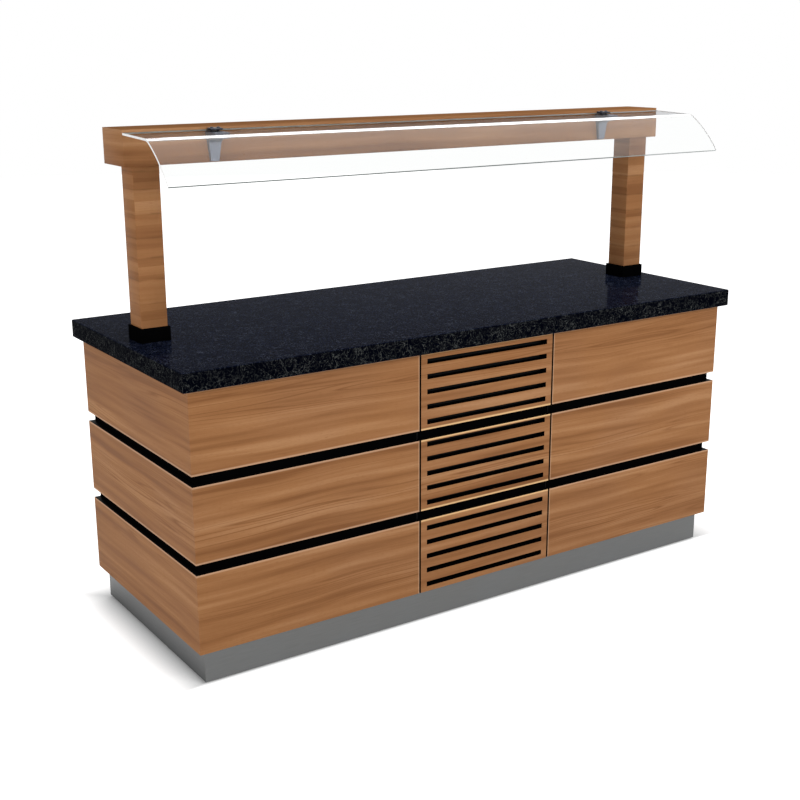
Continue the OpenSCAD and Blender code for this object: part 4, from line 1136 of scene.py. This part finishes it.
class SALAD_OT_door(bpy.types.Operator):
    """Air filter with its woven mesh, and the brush seals beside the door"""

    bl_idname = "salad.door"
    bl_label = "Door filter and seals"
    bl_options = {"REGISTER", "UNDO"}

    def execute(self, context):
        self.mesh(context.scene.salad_grille.wire_pitch)
        self.seals()
        return {"FINISHED"}

    def mesh(self, pitch):
        dark = coat("filter_black")
        paint(dark, "air_filter")
        frame_w, recess, wire = 0.014, 0.003, 0.0005
        low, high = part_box("air_filter")
        low, high = low + Vector((frame_w, 0, frame_w)), high - Vector((frame_w, 0, frame_w))
        wires = []
        for axis, size, other, step, weave in (
            ("Z", high.z - low.z, high.x - low.x, Vector((pitch, 0, 0)), 0.6 * wire),
            ("X", high.x - low.x, high.z - low.z, Vector((0, 0, pitch)), -0.6 * wire),
        ):
            work = bmesh.new()
            add_turned(work, rod(wire, 0, size), axis=axis, steps=6)
            start = Vector((low.x, high.y - recess / 2 + weave, low.z)) + step
            wires.append(repeated(
                line_tree, template("wire", work), dark,
                Count=math.floor(other / pitch) - 1, Start=start, Step=step,
            ))
        piece("filter_mesh", joined(*wires), "service_door")

    def seals(self):
        """Brushes in the joints beside the door, on the line of its pivots."""
        half_t, clearance = 0.002, 0.0005
        low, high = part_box("door_panel")
        y = sum(corner.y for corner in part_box("door_pins")) / 2
        reach = OPENING - clearance - high.x
        work = bmesh.new()
        for start, end in ((low.x - reach, low.x), (high.x, high.x + reach)):
            add_block(work, (start, y - half_t, low.z), (end, y + half_t, high.z), 0)
        seals = made_mesh("seals", work, coat("filter_black"))
        piece("door_brush_seals", seals, "service_door")


class SALAD_OT_gantry(bpy.types.Operator):
    """Posts, collars, beam and light bar"""

    bl_idname = "salad.gantry"
    bl_label = "Gantry"
    bl_options = {"REGISTER", "UNDO"}

    def execute(self, context):
        banded, beam = once(veneer, "banded"), once(veneer, "beam")
        for node in ("post_left", "post_right"):
            timber = eased(node, 1.2 * MM)
            piece(node + "_timber", timber, "cabinet", [banded], [node])
        piece("beam_timber", eased("beam", 1.0 * MM), "cabinet", [beam], ["beam"])
        piece(
            "post_collar_blocks", eased("post_collars", 1.0 * MM), "cabinet",
            [coat("black_board")], ["post_collars"],
        )
        paint(once(glowing, "light_cover", (0.9, 0.89, 0.84), 0.15), "light_bar")
        return {"FINISHED"}


class SALAD_OT_guard(bpy.types.Operator):
    """Bent glass, brackets, gaskets, clamps and screws"""

    bl_idname = "salad.guard"
    bl_label = "Sneeze guard"
    bl_options = {"REGISTER", "UNDO"}

    def execute(self, context):
        guard = context.scene.salad_guard
        low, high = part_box("beam")
        place = Vector((0, low.y - guard.gap, high.z - guard.drop))
        glass = grown(once(bent_glass_tree), {
            "Length": high.x - low.x, "Thickness": guard.thickness, "Flat": guard.flat,
            "Bend Radius": guard.bend_radius, "Bend Turn": guard.bend_turn,
            "Curve Radius": guard.curve_radius, "Curve Turn": guard.curve_turn,
            "Rows": guard.rows, "Tilt": guard.tilt, "Place": place,
            "Clear": once(clear_glass), "Rim": once(ground_glass),
        })
        piece("bent_glass_guard", glass, "cabinet", (), ["glass_guard"])
        piece(
            "tapered_brackets", eased("guard_brackets", 0.8 * MM, False), "cabinet",
            [coat("bracket_steel")], ["guard_brackets"],
        )
        paint(coat("gasket"), "guard_gaskets")
        self.fixings(guard, place)
        return {"FINISHED"}

    def fixings(self, guard, place):
        """Clamp plates with their button-head screws, drawn on the guard's flat part."""
        gasket, plate, back, reach, half = 0.001, 0.004, 0.003, 0.026, 0.018
        spread, thread, head, head_h, tip_l = 0.010, 0.003, 0.005, 0.003, 0.005
        tip = -guard.thickness - gasket - tip_l
        top = gasket + plate
        work = bmesh.new()
        points = []
        for x in (-guard.bracket_place, guard.bracket_place):
            add_block(work, (x - half, -back - reach, gasket), (x + half, -back, top), 0.8 * MM)
            for spot_x in (x - spread, x + spread):
                points.append((spot_x, -back - reach / 2, top))
                add_turned(work, rod(thread, tip, gasket), (*points[-1][:2], 0), steps=20)
        steel = coat("clamp_steel")
        heads = repeated(point_tree, screw_template(head, head_h), steel, points)
        whole = joined(made_mesh("clamps", work, steel), heads)
        whole.transform(Matrix.Translation(place) @ Matrix.Rotation(guard.tilt, 4, "X"))
        piece("guard_clamps", whole, "cabinet", (), ["guard_fixings"])


class SALAD_OT_machine(bpy.types.Operator):
    """Compressor, condenser, fan and copper tubes"""

    bl_idname = "salad.machine"
    bl_label = "Condensing unit"
    bl_options = {"REGISTER", "UNDO"}

    def execute(self, context):
        for make in (self.compressor, self.condenser, self.fan, self.pipes):
            make(context.scene.salad_machine)
        return {"FINISHED"}

    def pot_feet(self, machine):
        """Half the size of the compressor's foot plate, on X and Y."""
        return machine.pot_radius + 0.022, machine.pot_radius + 0.004

    def compressor(self, machine):
        low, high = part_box("compressor")
        r = machine.pot_radius
        foot_x, foot_y = self.pot_feet(machine)
        x, y = low.x + foot_x, low.y + foot_y
        grommet_h, plate_t, terminal_h, stub_r = 0.014, 0.004, 0.006, 0.006
        base, top = FLOOR_Z + grommet_h, high.z - terminal_h
        seam = base + 0.52 * (top - base)
        step_in = 0.003
        # A flat bottom with a rounded rim, the step at the weld, and a domed lid
        profile = [(0, base), (0.70 * r, base)]
        profile += [(r - 0.016 * (1 - s), base + 0.018 * (1 - c)) for s, c in quarter(6)]
        profile += [(r, seam - 0.006), (r, seam - 0.004)]
        profile += [(r - step_in, seam - 0.002), (r - step_in, seam + 0.012)]
        crown = 0.38 * r - step_in
        profile += [(0.62 * r + crown * c, top - 0.030 * (1 - s)) for s, c in quarter(8)]
        work = bmesh.new()
        add_turned(work, profile + [(0, top)], (x, y, 0), steps=64)
        add_turned(work, rod(stub_r, top - 0.002, high.z), (x, y, 0))
        add_turned(work, rod(stub_r, 0, r + stub_r), (x, y, DISCHARGE_Z), "X", 24)
        plate_low = (x - foot_x, y - foot_y, base - plate_t)
        add_block(work, plate_low, (x + foot_x, y + foot_y, base), 0.0012)
        box_low, box_high = (x - 0.028, y + r - 0.012), (x + 0.028, y + r + 0.003)
        add_block(work, (*box_low, base + 0.06), (*box_high, base + 0.12), 0.003, 3)
        pot = made_mesh("pot", work, coat("compressor_paint"))
        work = bmesh.new()
        rubber = [(0, 0), (0.009, 0), (0.009, 0.003), (0.0075, 0.005), (0.009, 0.007)]
        rubber += [(0.009, grommet_h), (0, grommet_h)]
        add_turned(work, rubber, steps=24)
        out_x, out_y = foot_x - 0.012, foot_y - 0.012
        spots = [(x + i * out_x, y + j * out_y, FLOOR_Z) for i in (-1, 1) for j in (-1, 1)]
        feet = repeated(point_tree, template("grommet", work), coat("black_plastic"), spots)
        piece(
            "compressor_pot", joined(pot, feet), "cabinet", (),
            ["compressor"],
        )

    def condenser(self, machine):
        low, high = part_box("condenser")
        end_t, rows, bow, tube_r, tube_bend = 0.003, 8, 0.012, 0.004, 0.0115
        sill, row_inset, stub, half_fin = 0.015, 0.013, 0.004, 0.15 * MM
        half = high.x - CONDENSER_FOOT
        z = FLOOR_Z + sill
        work = bmesh.new()
        add_block(
            work, (-half_fin, low.y + MM, z + MM), (half_fin, high.y - MM, high.z - MM), 0
        )
        step = 2 * (half - end_t) / (machine.fins + 1)
        fins = repeated(
            line_tree, template("fin", work), coat("fin_alloy"), Count=machine.fins,
            Start=Vector((step - half + end_t, 0, 0)), Step=Vector((step, 0, 0)),
        )
        work = bmesh.new()
        for side in (-1, 1):
            for reach, top in ((half, high.z), (half + CONDENSER_FOOT, FLOOR_Z + end_t)):
                inner, outer = sorted((side * (half - end_t), side * reach))
                add_block(work, (inner, low.y, FLOOR_Z), (outer, high.y, top), 0.4 * MM)
        ends = made_mesh("ends", work, once(plated))
        pitch = (high.z - z) / rows
        runs = []
        for y in (low.y + row_inset, high.y - row_inset):
            run = []
            for i in range(rows):
                far = (-half - bow) if i % 2 else (half + bow)
                run += [(x, y, z + (i + 0.5) * pitch) for x in (far, -far)]
            for end in (0, -1):
                run[end] = (half + stub, *run[end][1:])
            runs.append(run)
        coil = tubes(runs, tube_r, tube_bend, once(copper), 12)
        block = joined(fins, ends, coil)
        piece("condenser_block", block, "cabinet", (), ["condenser"])

    def fan(self, machine):
        paint(coat("shroud_paint"), "fan_housing")
        low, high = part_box("fan_housing")
        fan_low, fan_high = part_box("fan")
        tip_gap, mouth, hub_r, hub_l, shaft_r = 0.0055, 0.0464, 0.024, 0.026, 0.003
        ring = machine.fan_radius + tip_gap
        centre = Vector((0, low.y + mouth, (low.z + high.z) / 2))
        work = bmesh.new()
        for share in (0.42, 0.62, 0.82, 1.0):
            add_turned(work, round_section(share * ring, 1.2 * MM), centre, "Y", 56, True)
        rings = made_mesh("rings", work, once(plated))
        piece("fan_guard_rings", rings, "cabinet")
        half = hub_l / 2
        middle = Vector((0, fan_low.y + half, centre.z))
        shaft_end = fan_high.y - middle.y
        plastic = coat("fan_plastic")
        blades = repeated(
            ring_tree, self.blade(hub_r, machine.fan_radius, hub_l), plastic,
            Count=machine.blades, Place=middle,
        )
        work = bmesh.new()
        profile = [
            (0, -half), (0.7 * hub_r, -half), (0.93 * hub_r, -half + 0.002),
            (hub_r, -half + 0.006), (hub_r, half), (shaft_r, half), (shaft_r, shaft_end),
            (0, shaft_end),
        ]
        add_turned(work, profile, middle, "Y", 48)
        wheel = joined(blades, made_mesh("hub", work, plastic))
        piece("fan_wheel", wheel, "condenser_fan", (), ["fan"])

    def blade(self, root, tip, depth):
        """One twisted, cambered blade, reaching out along X, the fan's axis along Y."""
        work = bmesh.new()
        rows, columns, thick, camber = 8, 7, 0.0011, 0.004
        least_chord, more_chord, root_twist, untwist = 0.040, 0.020, 38, 14
        edge_y = depth / 2 - 0.0005

        def corner(i, j, face):
            share, place = i / rows, 2 * j / columns - 1
            out = root - 0.002 + share * (tip - root + 0.001)
            chord = least_chord + more_chord * math.sin(math.pi * (0.15 + 0.7 * share))
            twist = math.radians(root_twist - untwist * share)
            s = place * chord / 2
            lift = camber * (1 - place ** 2) + face * thick * (1 - 0.75 * abs(place) ** 3)
            z = s * math.cos(twist) - lift * math.sin(twist)
            y = s * math.sin(twist) + lift * math.cos(twist)
            x = math.sqrt(max(out * out - z * z, (root * 0.5) ** 2))
            return work.verts.new((x, max(-edge_y, min(edge_y, y)), z))

        low, high = (
            [[corner(i, j, face) for j in range(columns + 1)] for i in range(rows + 1)]
            for face in (-1, 1)
        )
        for sheet in (low, high):
            for first, second in zip(sheet, sheet[1:]):
                for j in range(columns):
                    work.faces.new((first[j], second[j], second[j + 1], first[j + 1]))
        rim = [(i, 0) for i in range(rows + 1)] + [(rows, j) for j in range(1, columns + 1)]
        rim += [(i, columns) for i in range(rows - 1, -1, -1)]
        rim += [(0, j) for j in range(columns - 1, 0, -1)]
        for (i, j), (k, m) in zip(rim, rim[1:] + rim[:1]):
            work.faces.new((low[i][j], low[k][m], high[k][m], high[i][j]))
        bmesh.ops.recalc_face_normals(work, faces=work.faces)
        return template("blade", work)

    def pipes(self, machine):
        """The evaporator's winding tube, and the three lines of the machine."""
        r, bend, pot_r = machine.tube_radius, machine.tube_bend, machine.pot_radius
        rows, end_bend, run_z = 8, 0.012, FLOOR_Z + 0.440
        clear, inlet_gap, port_rise = 0.006, 0.025, 0.090
        low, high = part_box("evaporator_coil")
        coil_z, under_z, side_x = high.z - r, low.z, high.x - r
        first_y, last_y = low.y + r, high.y - r
        pitch = (last_y - first_y) / (rows - 1)
        pipes_low, pipes_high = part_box("pipework")
        drop_x, far_x = pipes_low.x + r, pipes_high.x - r
        run = [(drop_x, first_y, under_z), (drop_x, first_y, coil_z)]
        for i in range(rows - 1):
            x = -side_x if i % 2 else side_x
            run += [(x, first_y + i * pitch, coil_z), (x, first_y + (i + 1) * pitch, coil_z)]
        run += [(-drop_x, last_y, coil_z), (-drop_x, last_y, under_z)]
        # A little less than half the pitch, so that each turn keeps a short straight
        turn_bend = 0.4985 * pitch
        bends = [0, end_bend] + [turn_bend] * (2 * rows - 2) + [end_bend, 0]
        coil = tubes([run], r, bend, once(copper), bends=bends)
        piece("evaporator_tube", coil, "cabinet", (), ["evaporator_coil"])
        low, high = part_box("compressor")
        foot_x, foot_y = self.pot_feet(machine)
        x, y, top = low.x + foot_x, low.y + foot_y, high.z
        low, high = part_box("fan_housing")
        inlet_y, middle = low.y - inlet_gap, (low.z + high.z) / 2
        upper, lower = middle + port_rise, middle - port_rise
        block_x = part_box("condenser")[1].x - CONDENSER_FOOT
        runs = [
            [(drop_x, first_y, under_z), (drop_x, first_y, run_z), (drop_x, y, run_z),
             (x, y, top)],
            [(x + pot_r + clear, y, DISCHARGE_Z), (far_x, y, DISCHARGE_Z), (far_x, y, upper),
             (far_x, inlet_y, upper), (block_x, inlet_y, upper)],
            [(block_x, inlet_y, lower), (far_x, inlet_y, lower), (far_x, last_y, lower),
             (far_x, last_y, run_z), (-drop_x, last_y, run_z), (-drop_x, last_y, under_z)],
        ]
        lines = tubes(runs, r, bend, once(copper))
        piece("copper_lines", lines, "cabinet", (), ["pipework"])


class SALAD_OT_controls(bpy.types.Operator):
    """Control panel, thermostat, buttons, mains inlet and switch"""

    bl_idname = "salad.controls"
    bl_label = "Controls"
    bl_options = {"REGISTER", "UNDO"}

    def execute(self, context):
        steel = once(brushed, "panel", (0.50, 0.51, 0.52), 0.26, (12, 900, 900))
        paint(steel, "control_panel")
        paint(coat("black_plastic"), "power_inlet")
        paint(coat("display_plastic"), "display")
        paint(coat("key_plastic"), "button_light", "button_up", "button_down")
        paint(coat("rocker_plastic"), "power_rocker")
        self.screws()
        self.digits()
        for key in ("light", "up", "down"):
            self.key_mark(key)
        return {"FINISHED"}

    def screws(self):
        inset = 0.006
        low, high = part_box("control_panel")
        spots = [
            (x, high.y, z)
            for x in (low.x + inset, high.x - inset) for z in (low.z + inset, high.z - inset)
        ]
        heads = repeated(
            point_tree, screw_template(3.2 * MM, 1.4 * MM), once(plated), spots,
            Turn=Vector((-math.pi / 2, 0, 0)),
        )
        piece("panel_screws", heads, "cabinet")

    def digits(self):
        """Two seven-bar numerals, 0 and 4, in the thermostat's window, on its floor."""
        low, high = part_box("display")
        half_w, half_h, thick, apart, window_up = 0.0032, 0.0066, 0.0007, 0.007, 0.010
        y, z = high.y - MM, (low.z + high.z) / 2 + window_up
        # Each bar's place across and up, as shares of the halves, and whether it lies
        middle, lower_left = (0, 0, True), (-1, -0.5, False)
        top, bottom = (0, 1, True), (0, -1, True)
        upper_left, upper_right, lower_right = (-1, 0.5, False), (1, 0.5, False), (1, -0.5, False)
        zero = (top, bottom, upper_left, upper_right, lower_left, lower_right)
        four = (middle, upper_left, upper_right, lower_right)
        work = bmesh.new()
        for place, lit in ((apart, zero), (-apart, four)):
            for across, up, lies in lit:
                spot = Vector(((low.x + high.x) / 2 + place - across * half_w, y, z + up * half_h))
                half = (half_w - thick, thick) if lies else (thick, half_h / 2 - thick)
                size = Vector((half[0], 0, half[1]))
                add_block(work, spot - size, spot + size + Vector((0, 0.4 * MM, 0)), 0.2 * MM, 1)
        bars = made_mesh("digits", work, once(glowing, "display_bars", (0.9, 0.10, 0.05), 0.9))
        piece("display_numerals", bars, "cabinet")

    def key_mark(self, key):
        """The printed mark on a key: a ring for the lamp, or an arrow."""
        low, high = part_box("button_" + key)
        middle = (low + high) / 2
        work = bmesh.new()
        if key == "light":
            ring = round_section(1.9 * MM, 0.3 * MM, 6)
            add_turned(work, ring, (middle.x, high.y, middle.z), "Y", 24, True)
        else:
            up = 1 if key == "up" else -1
            arrow = [(-2.0 * MM, -1.2 * MM), (2.0 * MM, -1.2 * MM), (0, 1.9 * MM)]
            outline = [(middle.x + a, high.y - 0.05 * MM, middle.z + up * b) for a, b in arrow]
            add_prism(work, outline, (0, 0.2 * MM, 0))
        mark = made_mesh("mark", work, coat("black_plastic"))
        piece("key_mark_" + key, mark, key + "_button")


class SALAD_OT_castors(bpy.types.Operator):
    """Castors: plates, forks, wheels, bolts and brake pedals"""

    bl_idname = "salad.castors"
    bl_label = "Castors"
    bl_options = {"REGISTER", "UNDO"}

    def execute(self, context):
        zinc = once(plated)
        paint(zinc, "castor_plates")
        plate_t, crown_r, along, across = 0.003, 0.026, 0.040, 0.028
        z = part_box("castor_plates")[1].z - plate_t
        spots = []
        for end in ("front", "rear"):
            for side in ("left", "right"):
                corner = end + "_" + side
                paint(zinc, "castor_fork_" + corner)
                if end == "front":
                    paint(coat("pedal_paint"), "brake_pedal_" + corner)
                self.wheel(corner)
                low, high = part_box("castor_fork_" + corner)
                x, y = high.x - crown_r, (low.y + high.y) / 2
                spots += [(x + i * along, y + j * across, z) for i in (-1, 1) for j in (-1, 1)]
        bolts = repeated(point_tree, bolt_template(6.2 * MM, 5.5 * MM), zinc, spots)
        piece("castor_bolts", bolts, "cabinet")
        return {"FINISHED"}

    def wheel(self, corner):
        """A tyre and its hub, turned about the axle."""
        node, body = "castor_wheel_" + corner, "wheel_" + corner
        low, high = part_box(node)
        middle = (low + high) / 2
        r, half = (high.z - low.z) / 2, (high.y - low.y) / 2
        bore, rim, ease, deep = 0.00405, r - 0.010, 0.006, half - 0.004
        tyre = [(rim, -half + 0.0008), (rim + 0.001, -half), (r - ease, -half)]
        tyre += [(r - ease + ease * s, -half + ease * (1 - c)) for s, c in quarter(6, 1)]
        hub = [(bore, -half), (0.0100, -half), (0.0104, -deep), (rim - 0.003, -deep)]
        hub += [(rim - 0.001, -half + 0.0015), (rim, -half + 0.001)]
        for name, section, kind, stands_for in (
            ("tyre_", tyre, "wheel_rubber", [node]), ("hub_", hub, "hub_plastic", ()),
        ):
            work = bmesh.new()
            add_turned(work, mirrored(section), middle, "Y", 64, True)
            mesh = made_mesh(name, work, coat(kind))
            piece(name + corner, mesh, body, (), stands_for)


class SALAD_PT_panel(bpy.types.Panel):
    """Lists the pieces and their settings"""

    bl_idname = "SALAD_PT_panel"
    bl_label = "Salad Bar"
    bl_space_type = "VIEW_3D"
    bl_region_type = "UI"
    bl_category = "Salad Bar"

    def draw(self, context):
        for group, kind in GROUPS.items():
            box = self.layout.box()
            box.label(text=kind.__doc__)
            for name in kind.__annotations__:
                box.prop(getattr(context.scene, group), name)
        for operator in OPERATORS:
            self.layout.operator(operator.bl_idname)


OPERATORS = (
    SALAD_OT_stage, SALAD_OT_carcass, SALAD_OT_cladding, SALAD_OT_grilles, SALAD_OT_door,
    SALAD_OT_gantry, SALAD_OT_guard, SALAD_OT_machine, SALAD_OT_controls, SALAD_OT_castors,
)


def register():
    for kind in (*GROUPS.values(), *OPERATORS, SALAD_PT_panel):
        bpy.utils.register_class(kind)
    for name, kind in GROUPS.items():
        setattr(bpy.types.Scene, name, bpy.props.PointerProperty(type=kind))


def unregister():
    for name in GROUPS:
        delattr(bpy.types.Scene, name)
    for kind in reversed((*GROUPS.values(), *OPERATORS, SALAD_PT_panel)):
        bpy.utils.unregister_class(kind)


def main():
    register()
    for operator in OPERATORS:
        group, name = operator.bl_idname.split(".")
        getattr(getattr(bpy.ops, group), name)()


if __name__ == "__main__":
    main()
